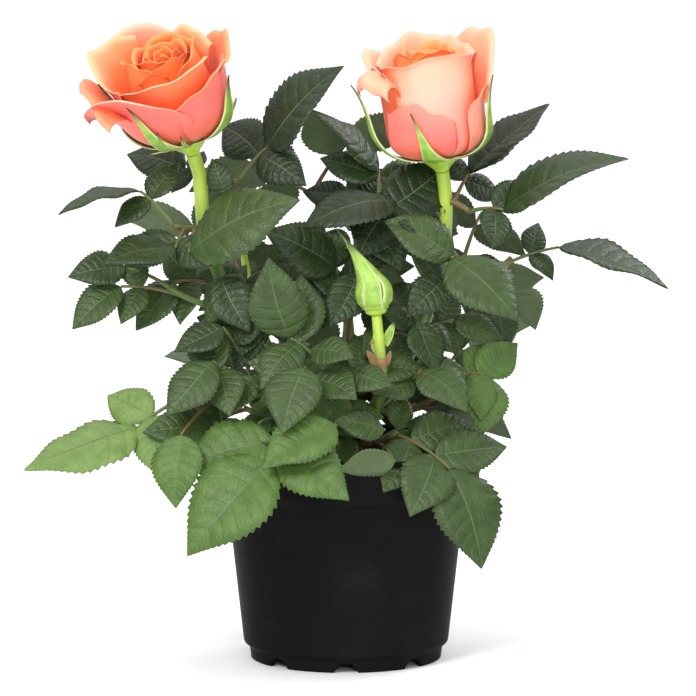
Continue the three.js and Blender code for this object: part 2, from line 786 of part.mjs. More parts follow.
addNode("pot", potSolid(), "pot");
addNode("soil", soilSolid(), "soil");
addNode("crown", crownSolid(), "bark");
for (const [name, cane] of Object.entries(CANES)) {
  const curve = caneCurve(cane);
  const shape = limb(curve, CANE.foot, cane.endRadius, CANE.sides, CANE.steps, at(1, 0, 0));
  addNode(name, solidOf(shape), "cane");
}
for (const [name, flower] of Object.entries(BLOOMS)) {
  const bloom = nodded(bloomSolid(name), flower.nod);
  const calyx = largestPart(nodded(calyxSolid(), flower.nod).subtract(swollen(bloom)));
  addNode(name.replace("bloom", "calyx"), placed(calyx, flower), "calyx");
  addNode(name, placed(largestPart(bloom), flower), "petal");
}
addNode("bud", budSolid(), "calyx");
for (const [name, mass] of Object.entries(MASSES)) {
  addNode(name, massSolid(mass, taken), "leaf");
}

export default plant;
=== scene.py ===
# %% [markdown]
# # A small rose bush in a black pot
# The plant is a patio rose: a plastic pot full of soil, a woody crown, a few bending canes, two open
# blooms, a bud and many toothed leaves. A plain solid model of it, the frame, comes from another
# program. This lesson dresses the frame with fine meshes and finishes, and moves none of it. Lengths
# are in millimetres and become metres when a mesh is made.

# %% Load the frame
import math

import bmesh
import bpy
import numpy as np
from mathutils import Matrix, Quaternion, Vector


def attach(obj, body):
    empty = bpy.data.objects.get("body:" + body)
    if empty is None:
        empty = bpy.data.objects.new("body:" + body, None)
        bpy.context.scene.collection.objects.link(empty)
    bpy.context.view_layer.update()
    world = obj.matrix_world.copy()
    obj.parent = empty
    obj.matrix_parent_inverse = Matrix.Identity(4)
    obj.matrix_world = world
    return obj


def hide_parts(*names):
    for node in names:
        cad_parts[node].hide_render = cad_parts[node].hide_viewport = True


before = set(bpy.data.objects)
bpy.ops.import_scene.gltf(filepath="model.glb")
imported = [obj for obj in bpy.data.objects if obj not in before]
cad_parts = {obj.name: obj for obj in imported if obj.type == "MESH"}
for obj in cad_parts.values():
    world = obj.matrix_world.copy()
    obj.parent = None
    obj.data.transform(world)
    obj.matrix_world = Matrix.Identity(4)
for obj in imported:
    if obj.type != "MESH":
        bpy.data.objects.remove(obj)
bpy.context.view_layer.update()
MM = 0.001

# %% [markdown]
# ## Camera, floor and light
# A plant is photographed from far off with a long lens, which keeps its near leaves from looking
# large. A wide floor of pale paper runs out of sight behind it. Large soft lamps stand above and in
# front, as in a studio, and a dim pale sky fills the shadows. The sides are kept darker, so that the
# round black pot shows its shape by a broad sheen that fades towards its edges.


# %% Camera
def aimed(name, data, place, target):
    """Puts a camera or lamp at a place and turns it to a target, both in metres."""
    holder = bpy.data.objects.new(name, data)
    bpy.context.scene.collection.objects.link(holder)
    holder.location = place
    ahead = Vector(target) - Vector(place)
    holder.rotation_euler = ahead.to_track_quat("-Z", "Y").to_euler()
    return holder


STAND = Vector((0.00085, -2.4, 0.4415))
AIM = Vector((0.00085, 0.0, 0.132))
FRAME_WIDTH = 0.294  # metres that the picture is wide at the aim
lens = bpy.data.cameras.new("long_lens")
lens.sensor_width = 36
lens.lens = lens.sensor_width * (STAND - AIM).length / FRAME_WIDTH
lens.clip_end = 50
bpy.context.scene.camera = aimed("camera", lens, STAND, AIM)
print("focal length, mm:", round(lens.lens, 1))

# %% Shader maths


class Wire:
    """A socket of a material. Arithmetic on it adds Math nodes."""

    def __init__(self, finish, socket):
        self.finish = finish
        self.socket = socket

    def maths(self, operation, *others):
        sockets = dict(enumerate((self, *others)))
        return self.finish.node("ShaderNodeMath", {"operation": operation}, sockets)

    def __add__(self, other):
        return self.maths("ADD", other)

    __radd__ = __add__

    def __mul__(self, other):
        return self.maths("MULTIPLY", other)

    __rmul__ = __mul__

    def __sub__(self, other):
        return self.maths("SUBTRACT", other)

    def __rsub__(self, other):
        return (self * -1) + other

    def __pow__(self, other):
        return self.maths("POWER", other)

    def between(self, low, high):
        """0 below low, 1 above high, and smooth in between."""
        settings = {"interpolation_type": "SMOOTHSTEP"}
        sockets = {"Value": self, "From Min": low, "From Max": high}
        return self.finish.node("ShaderNodeMapRange", settings, sockets)


class Finish:
    """A material with one Principled shader, and the ways to feed it."""

    def __init__(self, name, **constants):
        self.material = bpy.data.materials.new(name)
        self.material.use_nodes = True
        self.tree = self.material.node_tree
        self.shader = self.tree.nodes["Principled BSDF"]
        for name, value in constants.items():
            self.shader.inputs[name.replace("_", " ")].default_value = value

    def node(self, kind, settings=None, sockets=None, out=0):
        """Adds a node: its settings first, then the values or links of its sockets."""
        node = self.tree.nodes.new(kind)
        for name, value in (settings or {}).items():
            if name == "stops":
                for spot, colour in value[2:]:
                    node.color_ramp.elements.new(spot)
                for element, (spot, colour) in zip(node.color_ramp.elements, value):
                    element.position = spot
                    element.color = (*colour, 1)
            else:
                setattr(node, name, value)
        for name, value in (sockets or {}).items():
            self.join(node.inputs[name], value)
        return Wire(self, node.outputs[out])

    def join(self, socket, value):
        if isinstance(value, Wire):
            self.tree.links.new(value.socket, socket)
        else:
            socket.default_value = value

    def place(self):
        """Where a point is on the object, in metres."""
        return self.node("ShaderNodeTexCoord", out=3)

    def across_and_along(self):
        """The two directions of a piece's own UV map."""
        parts = {"Vector": self.node("ShaderNodeUVMap", {"uv_map": "UVMap"})}
        wires = [self.node("ShaderNodeSeparateXYZ", sockets=parts, out=i) for i in (0, 1)]
        return wires

    def level(self):
        return self.node("ShaderNodeSeparateXYZ", sockets={"Vector": self.place()}, out=2)

    def noise(self, scale, detail=3.0, roughness=0.5, stretch=None, vector=None):
        """Soft random patches, about 1/scale metres wide, from 0 to 1."""
        vector = vector or self.place()
        if stretch:
            vector = self.node("ShaderNodeMapping", sockets={"Vector": vector, "Scale": stretch})
        sockets = {"Vector": vector, "Scale": scale, "Detail": detail, "Roughness": roughness}
        return self.node("ShaderNodeTexNoise", sockets=sockets)

    def mix(self, share, first, second):
        """From one colour to another as share goes from 0 to 1."""
        colours = [(*c, 1) if isinstance(c, tuple) else c for c in (first, second)]
        sockets = {0: share, 6: colours[0], 7: colours[1]}
        return self.node("ShaderNodeMix", {"data_type": "RGBA"}, sockets, out=2)

    def paint(self, colour):
        self.join(self.shader.inputs["Base Color"], colour)
        return self

    def roughen(self, roughness):
        self.join(self.shader.inputs["Roughness"], roughness)
        return self

    def emboss(self, height, depth):
        """Bumps from a height between 0 and 1, as deep as depth in metres."""
        sockets = {"Height": height, "Distance": depth, "Strength": 1.0}
        self.join(self.shader.inputs["Normal"], self.node("ShaderNodeBump", sockets=sockets))
        return self


# %% Floor, sky and lamps
FLOOR_SIZE = 24.0
paper = Finish("paper", Roughness=0.9)
paper.shader.inputs["Specular IOR Level"].default_value = 0.1
grain = paper.noise(900.0, 2.0)
paper.paint(paper.mix(grain, (0.86, 0.86, 0.865), (0.9, 0.9, 0.905)))
ground = bmesh.new()
bmesh.ops.create_grid(ground, x_segments=1, y_segments=1, size=FLOOR_SIZE / 2)
ground_mesh = bpy.data.meshes.new("floor")
ground.to_mesh(ground_mesh)
ground.free()
ground_mesh.materials.append(paper.material)
floor = bpy.data.objects.new("floor", ground_mesh)
bpy.context.scene.collection.objects.link(floor)

sky = bpy.data.worlds.new("sky")
sky.use_nodes = True
nodes = sky.node_tree.nodes
direction = nodes.new("ShaderNodeTexCoord").outputs["Generated"]
height = nodes.new("ShaderNodeSeparateXYZ")
fade = nodes.new("ShaderNodeMapRange")
fade.interpolation_type = "SMOOTHSTEP"
for name, value in {"From Min": 0.1, "From Max": 0.9, "To Min": 0.2, "To Max": 1.65}.items():
    fade.inputs[name].default_value = value
sky.node_tree.links.new(direction, height.inputs[0])
sky.node_tree.links.new(height.outputs["Z"], fade.inputs["Value"])
sky.node_tree.links.new(fade.outputs["Result"], nodes["Background"].inputs["Strength"])
nodes["Background"].inputs["Color"].default_value = (1.0, 1.0, 1.0, 1)
bpy.context.scene.world = sky


def lamp(name, place, size, power):
    light = bpy.data.lights.new(name, "AREA")
    light.size = size
    light.energy = power
    return aimed(name, light, place, (0, 0, 0.15))


lamp("window", (-1.0, -1.7, 1.6), 0.7, 38)
lamp("front", (0.25, -2.5, 0.75), 0.7, 20)
lamp("rim", (1.3, 1.1, 1.5), 0.8, 14)
bpy.context.scene.view_settings.view_transform = "Standard"

# %% [markdown]
# ## Making and joining meshes
# Thin things such as leaves and petals start as one flat grid of faces that is given a second
# side, so that it is a closed shell. A rule then moves each corner: across the grid becomes across
# the leaf, and along the grid becomes along it. Stems start as one straight tube. Hundreds of such
# shapes are joined in a few meshes, which is much quicker than hundreds of objects.


# %% Flat shells and tubes to be shaped
def corners_of(mesh):
    """The corners, faces and UVs of a bmesh as arrays. The bmesh is used up."""
    uv = mesh.loops.layers.uv.active
    mesh.verts.index_update()
    places = np.array([v.co for v in mesh.verts])
    faces = np.array([[v.index for v in f.verts] for f in mesh.faces])
    flat = [[loop[uv].uv[:] for loop in f.loops] for f in mesh.faces] if uv else None
    mesh.free()
    return places, faces, np.array(flat) if uv else None


class Shell:
    """A flat grid with two sides. across runs from -1 to 1, along from 0 to 1, under is 0 or 1."""

    def __init__(self, columns, rows):
        mesh = bmesh.new()
        mesh.loops.layers.uv.new("UVMap")
        size = {"x_segments": columns, "y_segments": rows, "size": 0.5, "calc_uvs": True}
        bmesh.ops.create_grid(mesh, **size)
        bmesh.ops.solidify(mesh, geom=mesh.faces[:], thickness=1.0)
        bmesh.ops.recalc_face_normals(mesh, faces=mesh.faces)
        places, self.faces, self.uvs = corners_of(mesh)
        self.across = np.round(places[:, 0] * 2, 6)
        self.along = np.round(places[:, 1] + 0.5, 6)
        middle = (places[:, 2].min() + places[:, 2].max()) / 2
        self.under = (places[:, 2] < middle).astype(float)
        sides = self.under[self.faces].sum(1)
        self.side = np.where(sides == 0, 0, np.where(sides == 4, 1, 2))  # top, underside, rim
        self.column = np.abs(self.across[self.faces]).max(1)


def tube(sides, steps):
    """A closed tube of radius 1 from z = 0 to z = 1, in triangles. Its UVs run round and along."""
    mesh = bmesh.new()
    bmesh.ops.create_cone(mesh, segments=sides, radius1=1, radius2=1, depth=1, cap_ends=True)
    upright = [e for e in mesh.edges if abs(e.verts[0].co.z - e.verts[1].co.z) > 0.5]
    bmesh.ops.subdivide_edges(mesh, edges=upright, cuts=steps - 1, use_grid_fill=True)
    bmesh.ops.translate(mesh, verts=mesh.verts, vec=(0, 0, 0.5))
    bmesh.ops.triangulate(mesh, faces=mesh.faces)
    bmesh.ops.recalc_face_normals(mesh, faces=mesh.faces)
    places, faces, _ = corners_of(mesh)
    turns = np.arctan2(places[:, 1], places[:, 0]) / (2 * math.pi) + 0.5
    return places, faces, np.stack([turns, places[:, 2]], axis=1)[faces]


def link_piece(name, mesh, finishes, nodes):
    for finish in finishes:
        mesh.materials.append(finish.material)
    piece = bpy.data.objects.new(name, mesh)
    bpy.context.scene.collection.objects.link(piece)
    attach(piece, "root")
    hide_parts(*nodes)
    triangles = sum(len(p.vertices) - 2 for p in mesh.polygons)
    print(f"{name}: {triangles} triangles")
    return piece


def piece_of(name, made, finishes, nodes=(), smooth=True):
    """Makes one piece from a bmesh in millimetres."""
    bmesh.ops.scale(made, vec=(MM,) * 3, verts=made.verts)
    mesh = bpy.data.meshes.new(name)
    made.to_mesh(mesh)
    made.free()
    mesh.polygons.foreach_set("use_smooth", [smooth] * len(mesh.polygons))
    return link_piece(name, mesh, finishes, nodes)


class Joined:
    """Gathers shapes that share a kind, then makes one mesh of them."""

    def __init__(self):
        self.places, self.faces, self.uvs, self.finishes = [], [], [], []
        self.count = 0

    def add(self, places, faces, uvs, finish):
        self.faces.append(faces + self.count)
        self.places.append(places)
        self.uvs.append(uvs)
        self.finishes.append(np.broadcast_to(finish, (len(faces),)))
        self.count += len(places)

    def piece(self, name, finishes, slot, nodes=()):
        mesh = bpy.data.meshes.new(name)
        places = np.concatenate(self.places) * MM
        faces = np.concatenate(self.faces)
        mesh.from_pydata(places.tolist(), [], faces.tolist())
        layer = mesh.uv_layers.new(name="UVMap")
        layer.data.foreach_set("uv", np.concatenate(self.uvs).ravel())
        mesh.polygons.foreach_set("material_index", np.concatenate(self.finishes))
        mesh.polygons.foreach_set("use_smooth", [True] * len(faces))
        mesh.update()
        return link_piece(name, mesh, finishes, nodes)


# %% Curves
UP = Vector((0, 0, 1))


def at(*place):
    return Vector(place)


def rad(degrees):
    return math.radians(degrees)


def lerp(first, second, share):
    return first + (second - first) * share


def dice(seed):
    """The same seed always gives the same run of numbers between 0 and 1."""
    state = seed

    def roll():
        nonlocal state
        state = state * 16807 % 2147483647
        return state / 2147483647

    return roll


class Bend:
    """A curve with one control point, from its start to its end."""

    def __init__(self, start, control, end):
        self.start, self.control, self.end = start, control, end

    def point(self, t):
        first = self.start.lerp(self.control, t)
        return first.lerp(self.control.lerp(self.end, t), t)

    def tangent(self, t):
        span = 1e-3
        low, high = max(0.0, t - span), min(1.0, t + span)
        return (self.point(high) - self.point(low)).normalized()


class Through(Bend):
    """A smooth curve through points, none of which it overshoots."""

    def __init__(self, points):
        ends = (points[0] * 2 - points[1], points[-1] * 2 - points[-2])
        self.points = [ends[0], *points, ends[1]]

    def point(self, t):
        spans = len(self.points) - 3
        i = min(int(t * spans), spans - 1)
        t = t * spans - i
        p = self.points[i : i + 4]
        gap = [max(1e-4, (p[k + 1] - p[k]).length ** 0.5) for k in range(3)]
        slopes = []
        for k in (0, 1):
            a, b = gap[k], gap[k + 1]
            run = (p[k + 1] - p[k]) / a - (p[k + 2] - p[k]) / (a + b) + (p[k + 2] - p[k + 1]) / b
            slopes.append(run * gap[1])
        low, high = p[1], p[2]
        square = (high - low) * 3 - slopes[0] * 2 - slopes[1]
        cube = (low - high) * 2 + slopes[0] + slopes[1]
        return low + slopes[0] * t + square * t**2 + cube * t**3


def bow(start, end, arch):
    """A curve whose middle rises by arch, a share of its length."""
    middle = start.lerp(end, 0.5) + UP * (arch * (end - start).length)
    return Bend(start, middle, end)


def along_curve(unit_tube, curve, radius, hint=UP):
    """The corners of a unit tube laid along a curve. radius is a rule of along and turn."""
    places, faces, uvs = unit_tube
    levels, index = np.unique(np.round(places[:, 2], 5), return_inverse=True)
    rings = []
    for t in levels:
        ahead = curve.tangent(t)
        side = hint.cross(ahead).normalized()
        rings.append([curve.point(t), side, ahead.cross(side)])
    rings = np.array([[tuple(v) for v in ring] for ring in rings])[index]
    turn = np.arctan2(places[:, 1], places[:, 0])
    reach = radius(places[:, 2], turn)[:, None]
    return (
        rings[:, 0]
        + rings[:, 1] * reach * np.cos(turn)[:, None]
        + rings[:, 2] * reach * np.sin(turn)[:, None]
    )


# %% [markdown]
# ## The pot
# The real pot is thin black plastic, pressed in a mould: a rolled lip, a collar that lets pots be
# stacked and lifted, a tapering wall, and a foot ring with drain gaps. A turned shape like this is
# half of its outline spun round an axis. The gaps are made in the spun mesh, by raising the foot's
# lower corners where a gap is, because a cut would leave uneven faces.

# %% Outline of the pot
POT = {
    "height": 91.4, "lip": 60.0, "lip_height": 2.2, "band_top": 57.8, "band_foot": 56.0,
    "band_height": 18.0, "shoulder": 2.5, "wall_top": 50.6, "wall_foot": 43.2, "foot": 41.0,
    "foot_height": 6.5, "ring": 40.5, "ring_inside": 37.8, "floor": 4.5, "wall": 1.3,
}
GAPS = {"count": 8, "width": 10.0, "height": 3.8, "slant": 1.8}


def rounded(corners, radius, steps=3):
    """An outline with each corner but the first and last cut to a curve of a few steps."""
    made = [Vector(corners[0])]
    for before, corner, after in zip(corners, corners[1:], corners[2:]):
        before, corner, after = Vector(before), Vector(corner), Vector(after)
        reach = [min(radius, (p - corner).length * 0.45) for p in (before, after)]
        ends = [corner + (p - corner).normalized() * r for p, r in zip((before, after), reach)]
        for i in range(steps + 1):
            share = i / steps
            made.append(ends[0].lerp(corner, share).lerp(corner.lerp(ends[1], share), share))
    return made + [Vector(corners[-1])]


def spun(outline, steps):
    """A closed shape from an outline of [radius, level] that starts and ends on the axis."""
    made = bmesh.new()
    verts = [made.verts.new((max(0.0, p[0]), 0, p[1])) for p in outline]
    edges = [made.edges.new(pair) for pair in zip(verts, verts[1:])]
    turn = {"axis": (0, 0, 1), "cent": (0, 0, 0), "angle": 2 * math.pi, "steps": steps}
    bmesh.ops.spin(made, geom=verts + edges, use_merge=True, **turn)
    bmesh.ops.remove_doubles(made, verts=made.verts, dist=1e-4)
    bmesh.ops.recalc_face_normals(made, faces=made.faces)
    return made


def pot_outline():
    p = POT
    band = p["height"] - p["band_height"]
    inner = -p["wall"]
    outer = [
        (0, p["floor"]), (p["ring_inside"] - 1.8, p["floor"]), (p["ring_inside"], 0),
        (p["ring"], 0), (p["foot"], p["foot_height"] - 1.2), (p["wall_foot"], p["foot_height"] + 0.4),
        (p["wall_foot"] + 0.3, p["foot_height"] + 1.6), (p["wall_top"], band - p["shoulder"]),
        (p["band_foot"], band), (p["band_top"], p["height"] - p["lip_height"]),
        (p["lip"], p["height"] - p["lip_height"]), (p["lip"], p["height"]),
    ]
    inside = [
        (p["band_top"] + inner, p["height"]), (p["band_foot"] + inner, band),
        (p["wall_top"] + inner, band - p["shoulder"]), (p["wall_foot"] + inner, p["foot_height"] + 1),
        (p["foot"] + inner, p["floor"] + p["wall"]), (0, p["floor"] + p["wall"]),
    ]
    return rounded(outer + inside, 0.9)


# %% The pot itself
black_plastic = Finish("black_plastic", Roughness=0.4, Specular_IOR_Level=0.01)
scuffs = black_plastic.noise(420.0, 4.0, 0.65, stretch=(1.0, 1.0, 0.25))
dust = black_plastic.noise(38.0, 5.0, 0.7)
black_plastic.paint(
    black_plastic.mix(dust.between(0.45, 0.8), (0.0085, 0.0085, 0.0088), (0.013, 0.013, 0.0134))
)
black_plastic.roughen(scuffs * 0.12 + dust * 0.1 + 0.3)
black_plastic.emboss(black_plastic.noise(2600.0, 2.0, 0.5) * 0.5 + scuffs * 0.5, 0.00006)

pot = spun(pot_outline(), 192)
for vert in pot.verts:
    reach = vert.co.xy.length
    if vert.co.z < GAPS["height"] and reach > POT["ring_inside"] - 2.5:
        turn = (math.atan2(vert.co.y, vert.co.x) + math.pi / 2) % (2 * math.pi / GAPS["count"])
        turn = min(turn, 2 * math.pi / GAPS["count"] - turn)
        inside_gap = (GAPS["width"] / 2 - turn * reach) / GAPS["slant"]
        vert.co.z = max(vert.co.z, min(1.0, max(0.0, inside_gap)) * GAPS["height"])
bmesh.ops.recalc_face_normals(pot, faces=pot.faces)
piece_of("pot_body", pot, [black_plastic], ["pot"])

# %% [markdown]
# ## The soil
# Potting soil is dark peat with crumbs and a few pale bits of bark. A lumpy disc fills the pot, and
# a layer of loose crumbs lies on it. Each crumb is a small ball with a few faces, pressed out of
# shape, and all crumbs are one mesh.

# %% Soil and crumbs
SOIL_LEVEL = 84.0
SOIL_EDGE = 56.1
peat = Finish("peat", Roughness=0.95)
lumps = peat.noise(260.0, 6.0, 0.7)
peat.paint(peat.mix(lumps.between(0.35, 0.75), (0.012, 0.008, 0.006), (0.06, 0.036, 0.022)))
peat.emboss(lumps, 0.0009)
bark_chips = Finish("bark_chips", Roughness=0.9)
bark_chips.paint(bark_chips.mix(bark_chips.noise(700.0), (0.08, 0.045, 0.024), (0.17, 0.1, 0.055)))

soil = spun([(0, 40), (45, 40), (49, 71), (54, 75), (SOIL_EDGE, SOIL_LEVEL - 0.6),
             *[(SOIL_EDGE * (1 - i / 26), SOIL_LEVEL) for i in range(1, 26)], (0, SOIL_LEVEL)], 96)
roll = dice(41)
for vert in soil.verts:
    if vert.co.z > SOIL_LEVEL - 0.1:
        vert.co.z += 1.6 * (roll() - 0.6)
bmesh.ops.recalc_face_normals(soil, faces=soil.faces)
piece_of("soil_bed", soil, [peat], ["soil"])

ball = bmesh.new()
bmesh.ops.create_icosphere(ball, subdivisions=1, radius=1)
ball_places = np.array([v.co for v in ball.verts])
ball_faces = np.array([[v.index for v in f.verts] for f in ball.faces])
ball.free()
CRUMBS = 1500
rng = np.random.default_rng(7)
crumbs = Joined()
for _ in range(CRUMBS):
    reach = (SOIL_EDGE - 3) * math.sqrt(rng.random())
    turn = rng.random() * 2 * math.pi
    size = 0.5 + 1.3 * rng.random() ** 2.5
    shape = ball_places * rng.uniform(0.6, 1.4, 3) * (1 + 0.35 * rng.standard_normal((12, 1)))
    spot = (reach * math.cos(turn), reach * math.sin(turn), SOIL_LEVEL + 0.2 + 0.3 * size)
    flat = np.zeros((len(ball_faces), 3, 2))
    crumbs.add(shape * size + spot, ball_faces, flat, int(rng.random() < 0.12))
crumbs.piece("soil_crumbs", [peat, bark_chips], "soil")

# %% [markdown]
# ## Crown and canes
# Roses grow from a knobbly crown at the soil. Old wood is brown and rough, young canes are green and
# smooth, and under a bloom the cane is a fresh lime green. Each cane is a tube along a smooth curve
# through the places where it passes, a little swollen where leaves sit, with small hooked prickles.

# %% Where the canes run
CROWN_BASE = 84.35
CANE_LEVEL = 92.7
CROWN_CIRCLE = 6.1
BLOOMS = {
    "left": {"seat": at(-66, -12.5, 222), "face": at(-0.28, -0.16, 0.947).normalized(), "nod": 15},
    "right": {"seat": at(39.6, 0, 214), "face": at(-0.13, -0.09, 0.985).normalized(), "nod": 0},
}
NOD_HEIGHT = 45.0  # a flower's full nod, in degrees, is reached this high above its seat
BUD = {"seat": at(12.6, -42, 151.5), "face": at(-0.1, 0, 0.99).normalized(), "nod": 0}
CANES = {
    "left": {"bearing": 205, "through": [at(-24, -14, 116), at(-46, -19, 150), at(-59, -10, 182)],
             "flower": BLOOMS["left"], "below": 7.35, "end_radius": 3.05},
    "right": {"bearing": -25, "through": [at(20, -3, 118), at(35, 1, 148), at(41.5, 3, 176)],
              "flower": BLOOMS["right"], "below": 7.35, "end_radius": 2.9},
    "bud": {"bearing": -90, "through": [at(9, -22, 104), at(15, -37, 122)],
            "flower": BUD, "below": 0.35, "end_radius": 2.1},
    "back": {"bearing": 90, "through": [at(-1, 20, 118), at(2, 24, 150)],
             "end": at(6, 18, 186), "end_radius": 1.5},
    "back_left": {"bearing": 147, "through": [at(-24, 24, 114), at(-38, 34, 140)],
                  "end": at(-44, 38, 168), "end_radius": 1.5},
    "back_right": {"bearing": 33, "through": [at(26, 24, 114), at(42, 34, 136)],
                   "end": at(50, 38, 160), "end_radius": 1.5},
}


def cane_curve(cane):
    turn = rad(cane["bearing"])
    foot = at(math.cos(turn) * CROWN_CIRCLE, math.sin(turn) * CROWN_CIRCLE, CANE_LEVEL)
    rise = foot + at(foot.x * 0.15, foot.y * 0.15, 7)
    if "end" in cane:
        top = [cane["end"]]
    else:
        seat, face = cane["flower"]["seat"], cane["flower"]["face"]
        top = [seat - face * (cane["below"] + 9), seat - face * cane["below"]]
    return Through([foot, rise, *cane["through"], *top])


curves = {name: cane_curve(cane) for name, cane in CANES.items()}
print({name: tuple(round(c, 1) for c in curve.point(0.5)) for name, curve in curves.items()})

# %% Finishes of wood and green stem
old_bark = Finish("old_bark", Roughness=0.85)
ridges = old_bark.noise(500.0, 5.0, 0.7, stretch=(1.0, 1.0, 0.2))
old_bark.paint(old_bark.mix(ridges.between(0.3, 0.75), (0.035, 0.022, 0.012), (0.2, 0.13, 0.065)))
old_bark.emboss(ridges, 0.0008)

green_cane = Finish("green_cane", Roughness=0.42)
green_cane.shader.inputs["Subsurface Weight"].default_value = 0.08
green_cane.shader.inputs["Subsurface Radius"].default_value = (0.002, 0.003, 0.001)
_, height = green_cane.across_and_along()
streak = green_cane.noise(420.0, 4.0, 0.6, stretch=(1.0, 1.0, 0.12))
woody = (streak * 0.15 - height).between(-0.3, -0.12)
young = height.between(0.62, 0.8)
colour = green_cane.mix(streak.between(0.35, 0.8), (0.075, 0.15, 0.025), (0.13, 0.2, 0.04))
colour = green_cane.mix(young, colour, (0.38, 0.52, 0.06))
colour = green_cane.mix(woody, colour, (0.11, 0.075, 0.03))
green_cane.paint(colour)
green_cane.roughen(woody * 0.3 + 0.36)
green_cane.emboss(streak, 0.00012)

# %% Crown
crown = spun(rounded([(0, 0), (9.2, 0), (8.2, 2.0), (7.3, 4.2), (7.8, 6.2), (8.9, 8), (0, 8)], 0.8), 40)
bmesh.ops.subdivide_edges(crown, edges=crown.edges, cuts=1, use_grid_fill=True)
for vert in crown.verts:
    turn = math.atan2(vert.co.y, vert.co.x)
    knob = 0.05 * math.sin(3 * turn + vert.co.z) + 0.04 * math.sin(7 * turn - 1.3 * vert.co.z)
    vert.co.xy *= 0.97 + knob
bmesh.ops.translate(crown, verts=crown.verts, vec=(0, 0, CROWN_BASE))
piece_of("crown_wood", crown, [old_bark], ["crown"])

# %% Canes
CANE_TUBE = tube(14, 60)
NODE_SHARES = (0.16, 0.3, 0.44, 0.55, 0.68, 0.8)  # where leaves sit on a cane


def cane_radius(foot, end, flower):
    def rule(t, turn):
        plain = lerp(foot, end, t)
        knots = sum(np.exp(-(((t - share) / 0.012) ** 2)) for share in NODE_SHARES)
        ridge = 0.05 * np.sin(3 * turn + 9 * t) + 0.03 * np.sin(5 * turn - 31 * t)
        calm = 1 - 0.8 * np.clip((t - 0.8) / 0.1, 0, 1) if flower else 1
        return plain + (0.35 * knots + ridge) * calm

    return rule


canes = Joined()
for name, cane in CANES.items():
    rule = cane_radius(2.6, cane["end_radius"], "flower" in cane)
    places, faces, uvs = CANE_TUBE
    canes.add(along_curve(CANE_TUBE, curves[name], rule, at(1, 0, 0)), faces, uvs, 0)
canes.piece("canes", [green_cane], "cane", ["cane_" + name for name in CANES])

# %% Prickles
prickle_red = Finish("prickle_red", Roughness=0.45)
prickle_red.paint(prickle_red.mix(prickle_red.noise(400.0), (0.2, 0.09, 0.03), (0.36, 0.2, 0.07)))
thorn = bmesh.new()
bmesh.ops.create_cone(thorn, segments=8, radius1=1, radius2=0.04, depth=1, cap_ends=True)
bmesh.ops.translate(thorn, verts=thorn.verts, vec=(0, 0, 0.5))
bmesh.ops.triangulate(thorn, faces=thorn.faces)
thorn_places, thorn_faces, _ = corners_of(thorn)
PRICKLES_PER_CANE = 11
prickles = Joined()
roll = dice(77)
for name, cane in CANES.items():
    for i in range(PRICKLES_PER_CANE):
        t = 0.06 + 0.74 * (i + roll()) / PRICKLES_PER_CANE
        ahead = curves[name].tangent(t)
        side = at(1, 0, 0).cross(ahead).normalized()
        out = Quaternion(ahead, 2 * math.pi * roll()) @ side
        reach = lerp(1.6, 2.8, roll())
        root = curves[name].point(t) + out * (lerp(2.6, cane["end_radius"], t) - 0.35)
        x, y, z = thorn_places.T
        down = -0.35 * reach * z**2 - y * 1.25  # the tip hooks down, the foot is long along the cane
        hook = np.outer(x * 0.55, out.cross(ahead)) + np.outer(down, ahead) + np.outer(z * reach, out)
        flat = np.zeros((len(thorn_faces), 3, 2))
        prickles.add(hook + np.array(root), thorn_faces, flat, 0)
prickles.piece("prickles", [prickle_red], "cane")

# %% [markdown]
# ## Leaves
# A rose leaf is a stalk with an end leaflet and one or two pairs of side leaflets. A leaflet is a
# pointed oval with small forward teeth, folded a little along its midrib and puffed up between its
# side veins. One flat shell is the pattern for all: its rows slant like the side veins, its edge
# rows step in and out as teeth, and each leaflet gets its own bend, fold and ripple.

# %% Where the leaves grow
PAIRS = [{"at": 0.72, "size": 0.8, "angle": 70}, {"at": 0.3, "size": 0.62, "angle": 76}]
PAIR_DROOP = 0.22
JITTER = 9.0
GOLDEN_TURN = 137.508
STALK_ARCH = 0.12
ROOM = {"side": 137.0, "back": 91.0, "low": 45.0}
FILL = {"stalk": 25.0, "blade": 33.0, "low": -8.0, "high": 48.0, "hang": 38.0}


def leaf(end, tip, pairs=1, roll=0, tone=None, small=1.0):
    """tone picks one of the leaf tints, whose darkest ones are painted shade; small is how much smaller the side
    leaflets are.
    """
    made = {"end": at(*end), "tip": at(*tip), "pairs": pairs, "roll": roll}
    return {**made, "tone": tone, "small": small}


def shoot(cane, start, to, facing, seed, leaves=(), **rule):
    made = {"cane": cane, "from": start, "to": at(*to), "facing": facing, "seed": seed}
    return {**made, "leaves": [leaf(*made_leaf) for made_leaf in leaves], **rule}


